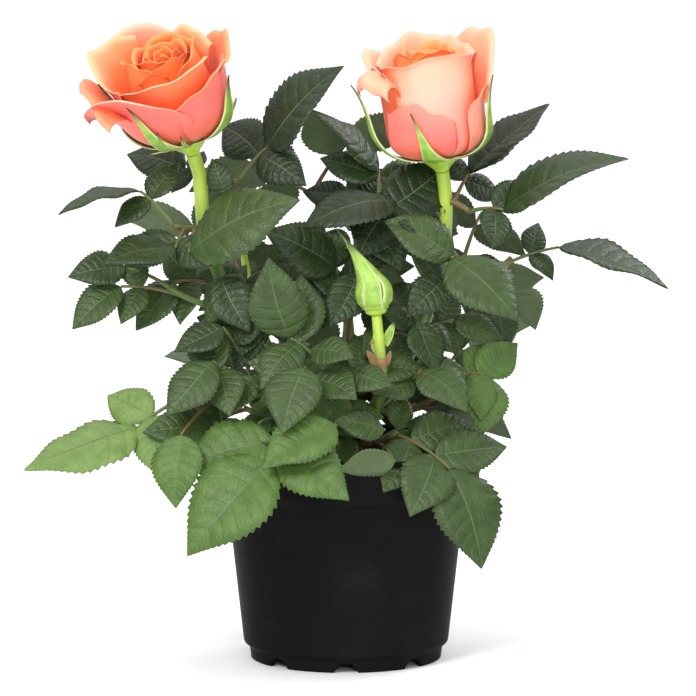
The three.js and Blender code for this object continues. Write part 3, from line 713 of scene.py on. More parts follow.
SHOOTS = {
    "left_top": shoot("left", 0.8, (-45, -3, 203), -1, 11, [
        ((-68, 10, 207), (-93, 22, 212), 1, 10, 0, 0.6), ((-50, -21, 199), (-56, -17, 214), 0, 0, 1),
        ((-33, 2, 217), (-1, -8, 252), 1, -12, 0, 0.75)]),
    "left_high": shoot("left", 0.68, (-72, -20, 186), -1, 12, [
        ((-65, -36, 177), (-19, -49, 200), 0, 0, 2), ((-71, -31, 178), (-100, -45, 173), 1, 15, 1),
        ((-86, -15, 200), (-120, -23, 191), 1, 40, 1, 0.7)]),
    "left_mid": shoot("left", 0.52, (-74, -27, 161), -1, 13, [
        ((-52, -32, 166), (-40, -42, 144), 0, 0), ((-94, -24, 161), (-114, -31, 144), 1, 0, 2, 0.8),
        ((-92, -18, 168), (-116, -24, 165), 0, 0, 1)]),
    "left_low": shoot("left", 0.36, (-66, -46, 118), -1, 14, [
        ((-51, -41, 146), (-71, -50, 137), 1, 0, 1), ((-55, -52, 133), (-74, -63, 112), 1, 0, 2),
        ((-68, -62, 104), (-70, -73, 75), 0, 0, 3), ((-86, -46, 105), (-133, -60, 89), 1, 18, 4, 0.7)]),
    "front_left": shoot("left", 0.16, (-24, -54, 113), -1, 15, [
        ((-17, -62, 132), (-26, -80, 107), 1, 0, 2), ((-4, -70, 109), (-34, -84, 93), 0, 0, 3),
        ((-31, -72, 95), (-65, -84, 57), 1, 0, 3)]),
    "front_right": shoot("bud", 0.22, (21, -38, 101), -1, 16, [
        ((16, -55, 105), (-5, -63, 110), 0, 0, 2), ((20, -64, 93), (-4, -68, 90), 0, 102, 3),
        ((43, -57, 89), (56, -68, 49), 2, 0, 2)]),
    "right_low": shoot("right", 0.25, (50, -20, 124), -1, 17, [
        ((31, -45, 128), (50, -60, 113), 1, 0), ((58, -24, 124), (57, -40, 101), 2, 0)]),
    "right_high": shoot("right", 0.66, (47, -22, 172), -1, 18, [
        ((39, -22, 182), (22, -31, 189), 0, 0), ((44, -33, 174), (71, -52, 150), 1, 0)]),
    "right_top": shoot("right", 0.8, (52, -3, 190), -1, 19, [
        ((52, 10, 205), (86, 18, 234), 1, -54, 0, 0.5),
        ((66, -12, 192), (118, -18, 214), 1, -42, 1, 0.5)]),
    "right_far": shoot("right", 0.55, (70, 4, 170), -1, 20, [
        ((90, 8, 174), (136, 2, 157), 1, -34, 1, 0.4), ((62, 0, 152), (66, -10, 130), 1, 0, 1, 0.8)]),
    "centre_high": shoot("back", 0.9, (14, 2, 196), -1, 21, [
        ((21, -14, 196), (-18, -30, 186), 1, 35), ((14, 14, 206), (-13, 12, 230), 1, 30)]),
    "centre": shoot("bud", 0.45, (-10, -42, 131), -1, 22, [
        ((2, -52, 129), (19, -62, 124), 0, 0), ((-14, -50, 138), (3, -64, 136), 0, 0),
        ((-23, -45, 142), (-32, -50, 176), 1, 0)]),
    "inner": shoot("back", 0.5, (2, -10, 158), -1, 23, [
        ((5, -24, 166), (-7, -38, 146), 1, 0), ((-4, -16, 168), (-34, -19, 184), 1, 0),
        ((8, -12, 186), (23, -20, 167), 0, 0)]),
    "inner_left": shoot("left", 0.44, (-46, -8, 158), -1, 24, [
        ((-36, -28, 150), (-46, -37, 126), 1, 0), ((-44, -22, 166), (-58, -30, 145), 1, 0),
        ((-72, -14, 162), (-88, -20, 142), 1, 0)]),
    "inner_right": shoot("right", 0.42, (34, -14, 152), -1, 25, [
        ((30, -28, 146), (38, -38, 126), 1, 0), ((42, -18, 164), (25, -26, 148), 1, 0)]),
    "low_left": shoot("left", 0.26, (-42, -40, 112), -1, 26, [
        ((-38, -44, 126), (-52, -54, 109), 0, 0, 2), ((-36, -58, 108), (-44, -70, 88), 0, 0, 2),
        ((-55, -48, 106), (-84, -56, 104), 1, 0, 2)]),
    "back_top": shoot("back", 0.96, (-14, 34, 196), 1, 31, bearing=100, spread=250, count=4),
    "back_middle": shoot("back", 0.42, (2, 56, 138), 1, 32, bearing=90, spread=150, count=5),
    "back_left": shoot("back_left", 0.9, (-50, 48, 168), 1, 33, bearing=125, spread=140, count=4),
    "back_left_low": shoot("back_left", 0.4, (-44, 42, 114), 1, 34, bearing=110, spread=110, count=4),
    "back_right": shoot("back_right", 0.9, (50, 50, 162), 1, 35, bearing=92, spread=90, count=4),
    "back_right_low": shoot("back_right", 0.4, (40, 44, 112), 1, 36, bearing=70, spread=110, count=4),
}


# %% The rule of growth
def face_of(place, facing):
    """Which way a leaflet's upper side looks: out, up, and to the front or the back."""
    out = at(place.x, place.y, 0).normalized()
    return at(0.35 * out.x, 0.75 * facing, 0.6).normalized()


def grown_leaf(root, share, index, mass, roll, scale=1.0):
    """A leaf of the shoots that grow by rule. Its end leaflet hangs lower than its stalk points."""
    turn = (index * GOLDEN_TURN) % 360 / 360 - 0.5
    bearing = rad(mass["bearing"] + turn * mass["spread"])
    pitch = lerp(FILL["low"], FILL["high"], share) + JITTER * (2 * roll() - 1)

    def way(degrees):
        flat = math.cos(rad(degrees))
        return at(math.cos(bearing) * flat, math.sin(bearing) * flat, math.sin(rad(degrees)))

    size = (0.88 + 0.24 * roll()) * scale
    end = root + way(pitch) * (FILL["stalk"] * size)
    tip = end + way(pitch - FILL["hang"]) * (FILL["blade"] * size)
    return leaf(end, tip)


def leaflets_of(made, curve, facing, roll):
    """The leaflets of a leaf as root, tip and upper direction."""
    end, tip = made["end"], made["tip"]
    size = (tip - end).length
    turned = Quaternion((tip - end).normalized(), rad(made["roll"])) @ face_of(end, facing)
    leaflets = [(end, tip, turned)]
    for pair in PAIRS[: made["pairs"]]:
        along = curve.tangent(pair["at"])
        up = face_of(end, facing)
        side = along.cross(up).normalized()
        for hand in (-1, 1):
            angle = rad(pair["angle"] + JITTER * (2 * roll() - 1))
            length = size * pair["size"] * made["small"] * (0.92 + 0.16 * roll())
            way = along * math.cos(angle) + side * (hand * math.sin(angle)) - UP * PAIR_DROOP
            root = curve.point(pair["at"])
            leaflets.append((root, root + way.normalized() * length, up))
    return leaflets


def shoot_curve(mass):
    curve = curves[mass["cane"]]
    foot, along = curve.point(mass["from"]), curve.tangent(mass["from"])
    reach = mass["to"] - foot
    out = (reach - along * reach.dot(along)).normalized()
    foot = foot + out * 1.2
    return Bend(foot, foot + out * (0.4 * (mass["to"] - foot).length), mass["to"])


# %% One leaflet's shape
LEAFLET = Shell(7, 40)
COLUMNS = np.array([-1.0, -0.72, -0.36, -0.024, 0.024, 0.36, 0.72, 1.0])
LEAF_RATIO = 0.66  # width over length
SIDE_VEINS = 8
TOOTH = 0.1  # depth over half the width
LEAF_THICKNESS = 0.35
BLUNT = 0.12  # half the width that is left at a leaflet's very root and tip
across_leaf = COLUMNS[np.round((LEAFLET.across + 1) * 3.5).astype(int)]
leaf_edge = np.abs(across_leaf) == 1
tooth_row = np.round(LEAFLET.along * 40).astype(int) % 2 == 1
vein_face = LEAFLET.column < 0.2


def half_outline(x):
    """A pointed oval: half its width, as a share of the widest, at a share of its length."""
    x = np.clip(x, 0, 1)
    return np.sin(np.pi * x**0.78) ** 0.8 * (1 - 0.45 * x**5)


def leaflet_places(root, tip, up, roll):
    """The corners of one leaflet between two points, with a bend, fold and ripple of its own."""
    root, tip = np.array(root), np.array(tip)
    length = np.linalg.norm(tip - root)
    ahead = (tip - root) / length
    up = np.array(up) - ahead * np.dot(up, ahead)
    up /= np.linalg.norm(up)
    side = np.cross(ahead, up)
    u, v = across_leaf, LEAFLET.along
    teeth = leaf_edge & tooth_row & (v > 0.05) & (v < 0.97)
    x = v + 0.17 * np.sin(np.pi * v) * np.abs(u) ** 1.3
    x = np.clip(x + teeth * 0.018, 0, 1)
    half = half_outline(x) * LEAF_RATIO * length / 2 * lerp(0.92, 1.06, roll()) + BLUNT
    width = u * half * (1 + teeth * TOOTH)
    puff = np.abs(np.sin(np.pi * SIDE_VEINS * v)) ** 0.7 * np.sin(np.pi * np.abs(u)) ** 0.6
    bend = lerp(0.02, 0.1, roll()) * length * 4 * x * (1 - x)
    fold = lerp(0.12, 0.4, roll()) * np.abs(width) - 0.25 * np.abs(u) * np.abs(width)
    phase, waves = 6.3 * roll(), lerp(1.2, 2.4, roll())
    ripple = lerp(0.02, 0.07, roll()) * np.sin(2 * np.pi * waves * x + phase + 1.6 * (u > 0)) * u**2 * half
    lift = bend + fold + ripple + 0.008 * length * puff * (half > 0.3)
    twist = rad(lerp(-16, 16, roll())) * (x - 0.3)
    lift, width = lift * np.cos(twist) + width * np.sin(twist), width * np.cos(twist) - lift * np.sin(twist)
    sideways = lerp(-0.05, 0.05, roll()) * length * np.sin(np.pi * x)
    lift = lift - LEAFLET.under * LEAF_THICKNESS
    return root + np.outer(x * length, ahead) + np.outer(width + sideways, side) + np.outer(lift, up)


# %% Leaf finishes
def leaf_finish(name, deep, light, roughness):
    """The upper side of a leaflet: patches of two greens, quilted between its side veins."""
    made = Finish(name, Roughness=roughness)
    patches = made.noise(140.0, 4.0, 0.6)
    _, along = made.across_and_along()
    quilt = (along * SIDE_VEINS).maths("PINGPONG", 0.5).between(0.0, 0.2)
    edges = {"Vector": made.place(), "Scale": 640.0}
    net = made.node("ShaderNodeTexVoronoi", {"feature": "DISTANCE_TO_EDGE"}, edges).between(0.0, 0.35)
    plain = made.mix(patches.between(0.3, 0.75), deep, light)
    made.shader.inputs["Specular IOR Level"].default_value = 0.32
    made.paint(made.mix((1 - quilt) * 0.16 + (1 - net) * 0.14, plain, light))
    made.roughen(patches * 0.2 + (roughness - 0.1))
    return made.emboss(quilt * 0.6 + net * 0.4, 0.00026)


# Five copies of the leaf finish, from near black to pale green. Besides the leaves' own range of greens, the
# darkest ones are painted shade that stands in for leaves lying in shadow.
LEAF_TINTS_AND_SHADE = [
    leaf_finish("leaf_deep_painted_shade", (0.009, 0.018, 0.0055), (0.017, 0.032, 0.009), 0.38),
    leaf_finish("leaf_dark", (0.014, 0.029, 0.0075), (0.026, 0.049, 0.012), 0.38),
    leaf_finish("leaf_mid", (0.024, 0.047, 0.01), (0.042, 0.076, 0.017), 0.4),
    leaf_finish("leaf_fresh", (0.046, 0.095, 0.016), (0.076, 0.145, 0.027), 0.45),
    leaf_finish("leaf_light", (0.095, 0.17, 0.035), (0.15, 0.235, 0.06), 0.48),
]
leaf_under = Finish("leaf_under", Roughness=0.7)
leaf_under.paint(leaf_under.mix(leaf_under.noise(160.0), (0.055, 0.09, 0.03), (0.1, 0.14, 0.055)))
leaf_vein = Finish("leaf_vein", Roughness=0.5)
leaf_vein.paint(leaf_vein.mix(leaf_vein.noise(300.0), (0.045, 0.08, 0.02), (0.08, 0.125, 0.035)))
stalk_finish = Finish("stalk_green", Roughness=0.5)
blush = stalk_finish.noise(60.0, 3.0, 0.6).between(0.35, 0.7)
stalk_finish.paint(stalk_finish.mix(blush, (0.07, 0.13, 0.025), (0.16, 0.065, 0.03)))


# %% Grow every shoot
SHOOT_TUBE = tube(8, 10)
STALK_TUBE = tube(6, 8)
GROUPS = {
    "left": ["left_top", "left_high", "left_mid", "left_low"],
    "front": ["front_left", "front_right", "low_left", "centre"],
    "right": ["right_low", "right_high", "right_top", "right_far"],
    "inner": ["centre_high", "inner", "inner_left", "inner_right"],
    "back": ["back_top", "back_middle", "back_left", "back_left_low", "back_right", "back_right_low"],
}


INNER = {"left": 0, "front": 2, "right": 0, "inner": 3, "back": 1}  # small leaves added to a shoot
INNER_SIZE = 0.62


def tapering(root, end):
    return lambda t, turn: lerp(root, end, t) + 0 * turn


def tint_and_shade_of(place, roll):
    """Picks a leaf tint by height, with some at random: darker high in the bush, lighter low down. The dark tints
    are partly the leaves' own green and partly painted shade for leaves in shadow.
    """
    height = (place.z - 95) / 90
    pick = 3.4 - 2.7 * min(1.0, max(0.0, height)) + 1.5 * (roll() - 0.5)
    return int(min(4, max(0, round(pick))))


RIM_REACH, RIM_CLEAR = 62.0, 97.0


def over_rim(start, tip):
    """Lifts the tip of a leaflet that would otherwise cut through the pot's rim."""
    near, far = start.xy.length, tip.xy.length
    if near > RIM_REACH or far < RIM_REACH - 12:
        return tip
    share = min(1.0, max(0.35, (RIM_REACH - near) / max(1.0, far - near)))
    level = lerp(start.z, tip.z, share)
    return tip + UP * (max(0.0, RIM_CLEAR - level) / share)


def add_leaf(root, made, facing, roll, blades, stems):
    curve = bow(root, made["end"], STALK_ARCH)
    places, faces, uvs = STALK_TUBE
    stems.add(along_curve(STALK_TUBE, curve, tapering(1.0, 0.6)), faces, uvs, 0)
    # The darker tints given here are partly painted shade.
    tint_and_shade = tint_and_shade_of(made["end"], roll) if made["tone"] is None else made["tone"]
    for start, tip, up in leaflets_of(made, curve, facing, roll):
        if abs(tip.x) > ROOM["side"] or tip.y > ROOM["back"] or tip.z < ROOM["low"]:
            continue
        if facing > 0:
            tip = over_rim(start, tip)
        look = np.where(LEAFLET.side == 1, 5, tint_and_shade)
        look = np.where((LEAFLET.side == 0) & vein_face, 6, look)
        blades.add(leaflet_places(start, tip, up, roll), LEAFLET.faces, LEAFLET.uvs, look)


stems = Joined()
for group, names in GROUPS.items():
    blades = Joined()
    for name in names:
        mass = SHOOTS[name]
        roll = dice(mass["seed"])
        curve = shoot_curve(mass)
        places, faces, uvs = SHOOT_TUBE
        stems.add(along_curve(SHOOT_TUBE, curve, tapering(1.7, 1.2), at(0.3, 1, 0.2)), faces, uvs, 0)
        count = len(mass["leaves"]) + mass.get("count", 0)
        for i in range(count):
            share = lerp(0.3, 0.98, i / (count - 1)) if count > 1 else 0.9
            root = curve.point(share)
            if i < len(mass["leaves"]):
                made = mass["leaves"][i]
            else:
                made = grown_leaf(root, share, i, mass, roll)
            add_leaf(root, made, mass["facing"], roll, blades, stems)
        for i in range(INNER[group]):
            share = 0.35 + 0.6 * i / INNER[group]
            root = curve.point(share)
            inner = {"bearing": 270 * -mass["facing"], "spread": 330}
            made = grown_leaf(root, share, i + 1, inner, roll, INNER_SIZE)
            add_leaf(root, made, mass["facing"], roll, blades, stems)
    finishes = [*LEAF_TINTS_AND_SHADE, leaf_under, leaf_vein]
    blades.piece("leaflets_" + group, finishes, "leaf", ["leaves_" + name for name in names])
stems.piece("leaf_stalks", [stalk_finish], "cane")

# %% [markdown]
# ## Blooms
# A bloom is a spiral of petals round a furled heart. Each petal runs out from its narrow foot, turns
# up as the side of the cup, and rolls outward along a thin lip, the outer ones most. Such a shape is
# drawn by its slope: the rule says how steep the petal is at each step up, and adding up the steps
# gives the curve, so that a petal can roll right over and keep its true length.

# %% One petal's shape
PETAL_COLUMNS, PETAL_ROWS = 24, 30
PETAL = Shell(PETAL_COLUMNS, PETAL_ROWS)
PETAL_THICKNESS = 0.32
LIP_START = 0.94
PETAL_SPOT = (
    np.round((PETAL.across + 1) / 2 * PETAL_COLUMNS).astype(int),
    np.round(PETAL.along * PETAL_ROWS).astype(int),
)


def bowl_slope(share, roundness):
    """The slope from the flower's axis: flat out at the foot, upright where the bowl ends."""
    return np.pi / 2 * (1 - np.clip(share, 0, 1) ** roundness)


def set_on(flower, out, turn, level):
    """From a flower's own out, turn and level to places in the plant, with the flower's nod."""
    x, y = out * np.cos(turn), out * np.sin(turn)
    nod = rad(flower["nod"]) * np.clip(level / NOD_HEIGHT, 0, 1)
    ahead, above = y * np.cos(nod) - level * np.sin(nod), y * np.sin(nod) + level * np.cos(nod)
    local = np.stack([x, ahead, above], axis=1)
    spin = np.array(UP.rotation_difference(flower["face"]).to_matrix())
    return local @ spin.T + np.array(flower["seat"])


def petal_places(flower, bearing, reach, height, half, foot=4.0, roundness=2.0, lean=3.0, inward=0.0,
                 curl=20, start=0.75, lip=55, side_curl=20, tuck=1.0, point=0.02, wave=0.5,
                 corner=0.0, phase=0.0, square=0.14, slant=0.0, ragged=0.012, crease=0.0,
                 crease_at=0.0):
    """The corners of one petal. Angles are in degrees, lengths in millimetres."""
    u = np.linspace(-1, 1, PETAL_COLUMNS + 1)[:, None]
    t = 1 - (1 - np.linspace(0, 1, PETAL_ROWS + 1)[None, :]) ** 1.3
    sample = bowl_slope(np.linspace(0, 1, 60), roundness)
    bowl = (reach - foot) / np.sin(sample).mean()
    side = max(2.0, height - bowl * np.cos(sample).mean())
    rim = 1 - square * np.abs(u) ** 2.6 + point * np.exp(-((u / 0.2) ** 2))
    rim = rim + ragged * (np.sin(5 * u + phase) + 0.7 * np.sin(11 * u + 2.3 * phase)) - slant * u
    run = t * (bowl + side) * rim
    above = np.clip((run - bowl) / side, 0, 1.2)
    over = np.clip((t - start) / (1 - start), 0, 1)
    slope = bowl_slope(run / bowl, roundness) + np.radians(lean - inward * above) * np.minimum(1, 3 * above)
    one_corner = abs(corner) * np.clip(u * np.sign(corner), 0, 1) ** 1.5
    slope = slope + np.radians(curl + side_curl * u**2 + one_corner) * over**1.5
    slope = slope + np.radians(lip) * np.clip((t - LIP_START) / (1 - LIP_START), 0, 1)
    step, middle = np.diff(run, axis=1), (slope[:, 1:] + slope[:, :-1]) / 2
    start_column = np.zeros((PETAL_COLUMNS + 1, 1))
    out = foot + np.hstack([start_column, np.cumsum(step * np.sin(middle), axis=1)])
    level = np.hstack([start_column, np.cumsum(step * np.cos(middle), axis=1)])
    out = out + tuck * u * np.minimum(1, 2.5 * t)
    out = out + wave * (np.sin(3.3 * u + phase) + 0.6 * np.sin(7.1 * u + 2 * phase)) * t**3
    out = out - crease * np.exp(-(((u - crease_at) / 0.12) ** 2)) * t**1.5
    turn = np.radians(bearing - half * u * (0.5 + 0.5 * np.sin(np.pi / 2 * np.minimum(1, t / 0.6))))
    out, level, turn, slope = (grid[PETAL_SPOT] for grid in (out, level, turn, slope))
    thick = PETAL_THICKNESS * PETAL.under
    return set_on(flower, out + thick * np.cos(slope), turn, level - thick * np.sin(slope))


# %% Petals of each bloom
def whorl(count, reach, height, seed):
    """The furled heart and the rings round it, by one spiral rule."""
    roll = dice(seed)
    petals = []
    for i in range(count):
        share = i / (count - 1)
        petals.append((("heart", "heart"), {
            "bearing": i * GOLDEN_TURN, "reach": lerp(reach[0], reach[1], share**0.85),
            "height": lerp(height[0], height[1], share) + 1.6 * (roll() - 0.5),
            "half": lerp(125, 62, share**0.7), "foot": lerp(0.8, 3.5, share), "lean": 0,
            "inward": lerp(4, 17, share), "curl": lerp(4, 26, share), "start": 0.8,
            "lip": lerp(20, 55, share), "side_curl": 8, "tuck": lerp(0.5, 2.0, share),
            "phase": 6.3 * roll(), "wave": lerp(0.2, 0.6, share), "point": 0.025,
        }))
    return petals


def petal(inside, outside, bearing, reach, height, half, **more):
    shape = {"bearing": bearing, "reach": reach, "height": height, "half": half}
    return ((inside, outside), {**shape, **more})


BLOOM_PETALS = {
    "left": whorl(14, (1.3, 17.5), (41, 45), 51) + [
        petal("apricot", "orange", 254, 19.8, 38.5, 72, curl=26, start=0.88, lip=75, tuck=0.6,
              phase=1.0, roundness=1.2, square=0.03, slant=0.12),
        petal("apricot", "coral", 160, 20.6, 44.5, 47, curl=28, start=0.35, lean=5, point=0.06,
              square=0.1, side_curl=-24, tuck=-1.0, phase=0.4, roundness=1.2, slant=-0.09),
        petal("rose", "coral", 112, 23.4, 44.5, 50, curl=12, lean=8, phase=2.0, square=0.26,
              roundness=1.3, tuck=-2.4, slant=-0.02),
        petal("apricot", "coral", 66, 19.5, 40.5, 38, curl=24, lean=4, phase=0.5, square=0.08,
              tuck=-1.2),
        petal("crimson", "coral", 318, 22.8, 33, 46, curl=24, lean=2, phase=3.0, roundness=1.15,
              lip=70, square=0.06, tuck=1.5, slant=0.1),
        petal("crimson", "coral", 14, 23.0, 40, 36, curl=26, lean=5, start=0.65, roundness=1.2,
              phase=1.2, square=0.08, tuck=-1.0),
        petal("rose", "coral", 230, 23.6, 38, 54, curl=24, start=0.38, lean=4, side_curl=0,
              corner=88, phase=1.7, roundness=1.15, lip=60, square=0.3, slant=-0.12),
        petal("orange", "coral", 192, 24.2, 39.5, 28, curl=38, start=0.5, lean=14, side_curl=0,
              corner=-85, phase=0.2, point=0.03, roundness=1.15, square=0.04, slant=-0.06),
    ],
    "right": whorl(13, (1.3, 15.2), (42, 46.5), 52) + [
        petal("peach", "blush", 275, 18.8, 45, 69, curl=14, start=0.86, lip=60, phase=2.4,
              roundness=1.7, square=0.03, crease=1.2, crease_at=0.52, inward=2, slant=0.02),
        petal("peach", "crimson", 195, 19.2, 41, 31, curl=15, lean=3, tuck=1.0, roundness=1.7,
              side_curl=0),
        petal("peach", "salmon", 104, 18.6, 49, 58, curl=18, lean=4, phase=0.9, square=0.12),
        petal("peach", "salmon", 66, 17.6, 47, 34, curl=24, lean=4, phase=2.6, square=0.1),
        petal("peach", "salmon", 154, 20.0, 47.5, 38, curl=34, lean=5, phase=1.9, square=0.12),
        petal("peach", "salmon", 26, 20.4, 49, 42, curl=22, lean=10, start=0.7, side_curl=12,
              square=0.25, slant=0.18, roundness=1.7, phase=0.6, tuck=-0.8, wave=0.9),
        petal("peach", "crimson", 206, 20.0, 53, 24, curl=225, start=0.67, lean=3, side_curl=0,
              roundness=1.7, square=0.1, phase=1.4, lip=0),
        petal("peach", "coral", 248, 21.0, 24, 46, curl=-8, lean=-3, phase=1.0, roundness=1.7,
              square=0.14, slant=-0.08, ragged=0.025, lip=20, side_curl=0),
        petal("crimson", "salmon", 344, 20.8, 28, 36, curl=22, lean=1, phase=2.0, roundness=1.7),
    ],
}


# %% Petal finishes
def petal_finish(name, foot, middle, rim, edge=None):
    """A petal's colour runs from foot to rim, and to its side edges, over fine lengthwise veins."""
    made = Finish("petal_" + name, Roughness=0.5)
    made.shader.inputs["Subsurface Weight"].default_value = 0.12
    made.shader.inputs["Subsurface Radius"].default_value = (0.004, 0.0015, 0.0008)
    made.shader.inputs["Sheen Weight"].default_value = 0.08
    across, along = made.across_and_along()
    rise = along + made.noise(60.0, 3.0, 0.6) * 0.3 - 0.15
    stops = [(0.12, foot), (0.6, middle), (0.95, rim)]
    colour = made.node("ShaderNodeValToRGB", {"stops": stops}, {"Fac": rise})
    if edge:
        sideways = (across * 2 - 1).maths("ABSOLUTE") + made.noise(45.0, 2.0) * 0.3 - 0.15
        colour = made.mix(sideways.between(0.4, 1.0), colour, edge)
    own = made.node("ShaderNodeCombineXYZ", sockets={"X": across * 70.0, "Y": along * 2.5})
    veins = made.noise(1.0, 4.0, 0.6, vector=own)
    cloud = made.noise(90.0, 4.0, 0.65)
    colour = made.mix(veins.between(0.4, 0.8) * 0.4, colour, rim)
    made.paint(made.mix(cloud.between(0.45, 0.8) * 0.3, colour, middle))
    made.emboss(veins * 0.7 + cloud * 0.3, 0.0004)
    return made


PETAL_TONES = {
    "heart": petal_finish("heart", (0.8, 0.045, 0.008), (0.96, 0.16, 0.03), (1.0, 0.3, 0.09)),
    "apricot": petal_finish("apricot", (0.85, 0.06, 0.01), (0.98, 0.24, 0.06), (1.0, 0.42, 0.22)),
    "rose": petal_finish("rose", (0.9, 0.14, 0.05), (0.95, 0.35, 0.2), (0.98, 0.45, 0.32)),
    "orange": petal_finish("orange", (0.9, 0.16, 0.035), (0.91, 0.16, 0.045), (0.96, 0.26, 0.12)),
    "coral": petal_finish("coral", (0.88, 0.17, 0.06), (0.83, 0.14, 0.12), (0.92, 0.23, 0.17)),
    "crimson": petal_finish("crimson", (0.75, 0.02, 0.006), (0.93, 0.15, 0.035), (0.98, 0.31, 0.13)),
    "peach": petal_finish("peach", (0.88, 0.09, 0.02), (0.97, 0.27, 0.12), (0.98, 0.42, 0.28)),
    "salmon": petal_finish("salmon", (0.92, 0.22, 0.12), (0.93, 0.29, 0.2), (1.0, 0.4, 0.28)),
    "blush": petal_finish("blush", (0.9, 0.22, 0.18), (0.95, 0.42, 0.32), (0.97, 0.42, 0.27),
                          edge=(0.95, 0.16, 0.035)),
}
tones = list(PETAL_TONES)
for name, petals in BLOOM_PETALS.items():
    bloom = Joined()
    for (inside, outside), shape in petals:
        look = np.where(PETAL.side == 1, tones.index(outside), tones.index(inside))
        bloom.add(petal_places(BLOOMS[name], **shape), PETAL.faces, PETAL.uvs, look)
    bloom.piece("petals_" + name, PETAL_TONES.values(), "petal", ["bloom_" + name])

# %% [markdown]
# ## Hips, sepals and bud
# Under each bloom the cane widens into a green hip, and five sepals stand round it, pale at their
# edges, with thin tips that turn away. The bud is the same flower still closed: its sepals wrap it.

# %% Hips
fresh_green = Finish("fresh_green", Roughness=0.42)
fresh_green.shader.inputs["Subsurface Weight"].default_value = 0.15
fresh_green.shader.inputs["Subsurface Radius"].default_value = (0.002, 0.003, 0.001)
haze = fresh_green.noise(120.0, 3.0, 0.6)
fresh_green.paint(fresh_green.mix(haze.between(0.3, 0.75), (0.33, 0.53, 0.045), (0.48, 0.68, 0.075)))
fresh_green.emboss(fresh_green.noise(900.0, 2.0), 0.0001)
sepal_out = Finish("sepal_outside", Roughness=0.5)
sepal_across, sepal_along = sepal_out.across_and_along()
rim_share = (sepal_across * 2 - 1).maths("ABSOLUTE").between(0.62, 0.98)
green = sepal_out.mix(sepal_out.noise(220.0).between(0.3, 0.7), (0.17, 0.32, 0.035), (0.3, 0.48, 0.07))
green = sepal_out.mix(rim_share, green, (0.5, 0.58, 0.24))
tip_share = sepal_along.between(0.72, 0.97)
sepal_out.paint(sepal_out.mix(tip_share, green, (0.035, 0.06, 0.018)))
sepal_in = Finish("sepal_inside", Roughness=0.7)
sepal_in.paint(sepal_in.mix(sepal_in.noise(200.0), (0.36, 0.5, 0.16), (0.5, 0.6, 0.28)))

HIP = [(0, -7.2), (3.0, -7.2), (3.2, -6.2), (4.6, -4.8), (6.9, -2.8), (8.4, -1.0), (8.2, 0.6), (0, 1.2)]


def placed(made, flower):
    turn = UP.rotation_difference(flower["face"]).to_matrix().to_4x4()
    bmesh.ops.transform(made, matrix=Matrix.Translation(flower["seat"]) @ turn, verts=made.verts)
    return made


SEPAL_COLUMNS, SEPAL_ROWS = 6, 34
SEPAL = Shell(SEPAL_COLUMNS, SEPAL_ROWS)
SEPAL_THICKNESS = 0.5
SEPAL_CLEAR = 0.9  # how far outside the petals a sepal lies


def sepal_places(flower, bearing, length, width, reach=23.0, away=0.0, away_from=0.5, twist=0.0,
                 foot=7.4, roundness=1.2, slim=1.15, base=-0.9):
    """A sepal follows the cup from the hip's rim, narrows to a thin tip and turns away there."""
    t = np.linspace(0, 1, SEPAL_ROWS + 1)
    sample = bowl_slope(np.linspace(0, 1, 60), roundness)
    bowl = max(0.5, reach + SEPAL_CLEAR - foot) / np.sin(sample).mean()
    slope = bowl_slope(t * length / bowl, roundness)
    slope = slope + np.radians(away) * np.clip((t - away_from) / (1 - away_from), 0, 1) ** 1.2
    step, middle = length / SEPAL_ROWS, (slope[1:] + slope[:-1]) / 2
    row = np.round(SEPAL.along * SEPAL_ROWS).astype(int)
    out = (foot + np.append(0, np.cumsum(step * np.sin(middle))))[row]
    level = (base + np.append(0, np.cumsum(step * np.cos(middle))))[row]
    half = width / 2 * ((1 - SEPAL.along) ** slim * (1 + 0.7 * SEPAL.along) + 0.035)
    sideways = -SEPAL.across * half
    thick = SEPAL_THICKNESS * SEPAL.under - 0.12 * np.abs(SEPAL.across) * half
    level = level - thick * np.sin(slope[row])
    out = out + thick * np.cos(slope[row])
    turn = np.radians(bearing + twist * SEPAL.along**1.5) + np.arctan2(sideways, out)
    return set_on(flower, np.hypot(out, sideways), turn, level)


SEPALS = {
    "left": [
        {"bearing": 322, "length": 38, "width": 14.5, "reach": 23.4, "twist": 16, "away": 16},
        {"bearing": 250, "length": 42, "width": 12.5, "reach": 24.6, "twist": -24, "away": 8,
         "slim": 1.5},
        {"bearing": 16, "length": 21, "width": 12.0, "reach": 23.6, "away": 10},
        {"bearing": 104, "length": 38, "width": 12.5, "reach": 22.5, "away": 22},
        {"bearing": 172, "length": 46, "width": 12.0, "reach": 24.5, "away": 20},
        {"bearing": 248, "length": 27, "width": 4.6, "reach": 25.0},
        {"bearing": 268, "length": 22, "width": 4.2, "reach": 25.0},
        {"bearing": 220, "length": 15, "width": 3.6, "reach": 30.0, "away": 24},
    ],
    "right": [
        {"bearing": 264, "length": 34, "width": 15.5, "reach": 21.6, "twist": -20, "slim": 2.0,
         "roundness": 1.7},
        {"bearing": 196, "length": 51, "width": 13.0, "reach": 27.5, "away": 30, "roundness": 1.2},
        {"bearing": 338, "length": 44, "width": 13.5, "reach": 22.6, "away": 19, "twist": 8,
         "roundness": 1.5},
        {"bearing": 56, "length": 38, "width": 13.0, "reach": 21.4, "away": 18, "roundness": 1.7},
        {"bearing": 126, "length": 36, "width": 13.0, "reach": 21.4, "away": 26, "roundness": 1.7},
        {"bearing": 312, "length": 10, "width": 3.6, "reach": 21.4, "roundness": 1.7},
    ],
}
for name, flower in BLOOMS.items():
    hip = placed(spun(rounded(HIP, 1.6, 4), 48), flower)
    piece_of("hip_" + name, hip, [fresh_green], ["calyx_" + name])
    sepals = Joined()
    for shape in SEPALS[name]:
        look = (SEPAL.side == 0).astype(int)
        sepals.add(sepal_places(flower, **shape), SEPAL.faces, SEPAL.uvs, look)
    sepals.piece("sepals_" + name, [sepal_out, sepal_in], "sepal")

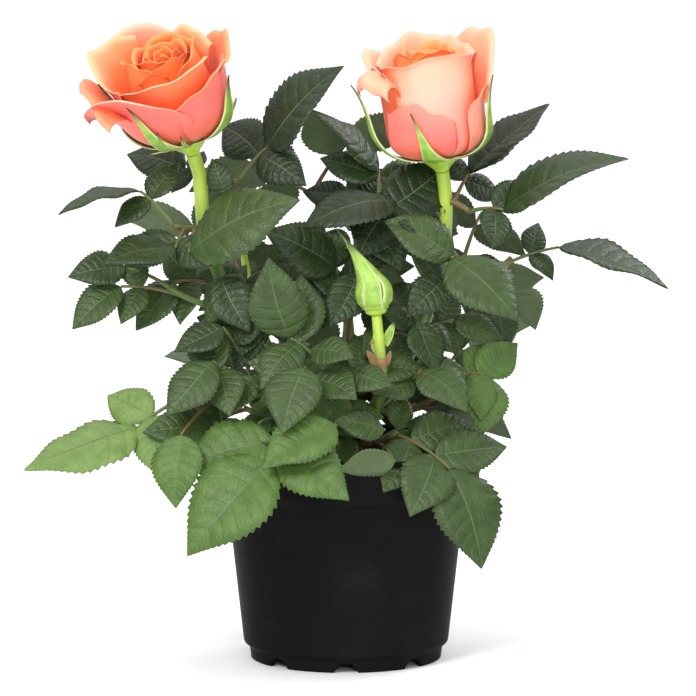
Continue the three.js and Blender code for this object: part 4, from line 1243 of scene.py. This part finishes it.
# %% Bud
BUD_BODY = [(0, -0.3), (2.4, -0.3), (4.3, 0.6), (4.6, 2.2), (4.4, 3.0), (6.4, 5.2), (7.0, 9.0),
            (6.2, 13.0), (4.4, 17.0), (2.6, 21.5), (1.2, 25.5), (0.5, 29.0), (0, 30)]
BUD_TIP_LEAN = 0.34  # how far the furled tips lean aside for each millimetre above the body
LEAN_FROM = 13.0


def lean_aside(places):
    """Leans the upper part of the bud to its left, from above its widest place."""
    rise = np.clip(places[:, 2] - BUD["seat"].z - LEAN_FROM, 0, None)
    places[:, 0] -= BUD_TIP_LEAN * rise**1.15
    return places


bud = placed(spun(rounded(BUD_BODY, 1.5, 3), 40), BUD)
for vert, place in zip(bud.verts, lean_aside(np.array([v.co for v in bud.verts]))):
    vert.co = place
piece_of("bud_body", bud, [fresh_green], ["bud"])

bud_outline = np.array(sorted((z, r) for r, z in BUD_BODY[3:]))


def wrapped_places(bearing, length, width, gap, twist):
    """A sepal that wraps the bud: it keeps to the body's outline, and its tip runs on above."""
    t = SEPAL.along
    level = 2.4 + (length - 2.4) * t
    out = np.interp(level, bud_outline[:, 0], bud_outline[:, 1]) + gap + SEPAL_THICKNESS * SEPAL.under
    half = width / 2 * ((1 - t) ** 0.9 * (1 + 0.9 * t) + 0.05)
    turn = np.radians(bearing + twist * t) - SEPAL.across * half / np.maximum(out, 1.6)
    return lean_aside(set_on(BUD, out, turn, level))


wraps = Joined()
for bearing, length, width, gap, twist in (
    (262, 31, 8.2, 0.9, 10), (200, 36, 8.6, 0.5, 24), (330, 31, 9.0, 0.4, 18), (60, 29, 9, 0.5, 20),
    (130, 33, 9, 0.4, 22),
):
    places = wrapped_places(bearing, length, width, gap, twist)
    wraps.add(places, SEPAL.faces, SEPAL.uvs, (SEPAL.side == 0).astype(int))
wraps.piece("bud_sepals", [sepal_out, sepal_in], "sepal")

# %% Node and scales on the bud's stem
dry_scale = Finish("dry_scale", Roughness=0.75)
dry_scale.paint(dry_scale.mix(dry_scale.noise(500.0), (0.12, 0.06, 0.02), (0.34, 0.2, 0.08)))
NODE_AT = 0.69  # where the node is on the bud's cane


def scale_places(root, tip, up, width, cup=0.3):
    """A small pointed scale between two points, hollow along its middle."""
    ahead = (tip - root).normalized()
    up = (up - ahead * up.dot(ahead)).normalized()
    side = ahead.cross(up)
    v = SEPAL.along
    half = width / 2 * (np.sin(np.pi * np.clip(0.18 + 0.82 * v, 0, 1)) ** 0.7 + 0.04)
    lift = cup * half * SEPAL.across**2 + 0.08 * width * np.sin(np.pi * v) - 0.3 * SEPAL.under
    length = (tip - root).length
    return np.array(root) + np.outer(v * length, ahead) + np.outer(SEPAL.across * half, side) + np.outer(lift, up)


stem = curves["bud"]
node = stem.point(NODE_AT)
ahead = stem.tangent(NODE_AT)
ring = Bend(node - ahead * 2.4, node, node + ahead * 2.4)
places, faces, uvs = CANE_TUBE
knot = Joined()
swelling = along_curve(CANE_TUBE, ring, lambda t, turn: 2.35 + 0.6 * np.sin(np.pi * t) + 0 * turn)
knot.add(swelling, faces, uvs, 0)
knot.piece("bud_stem_knot", [dry_scale], "cane")
scales = Joined()
for root, tip, up, width, look in (
    (at(-2, -1, -1), at(-6, -3, 5), at(0, -1, 0.2), 3.4, 0),
    (at(2, -1, -1), at(3.8, -2, 5), at(0, -1, 0), 2.2, 0),
    (at(1.6, -0.6, 7), at(5.2, -2.5, 17), at(-0.3, -1, 0), 3.4, 1),
    (at(-1.5, 1.5, 3), at(-4, 4, 10), at(0, 1, 0), 3.2, 1),
):
    turned = np.zeros(len(SEPAL.faces), int) + look
    scales.add(scale_places(node + root, node + tip, up, width), SEPAL.faces, SEPAL.uvs, turned)
scales.piece("bud_stem_scales", [dry_scale, sepal_out], "cane")
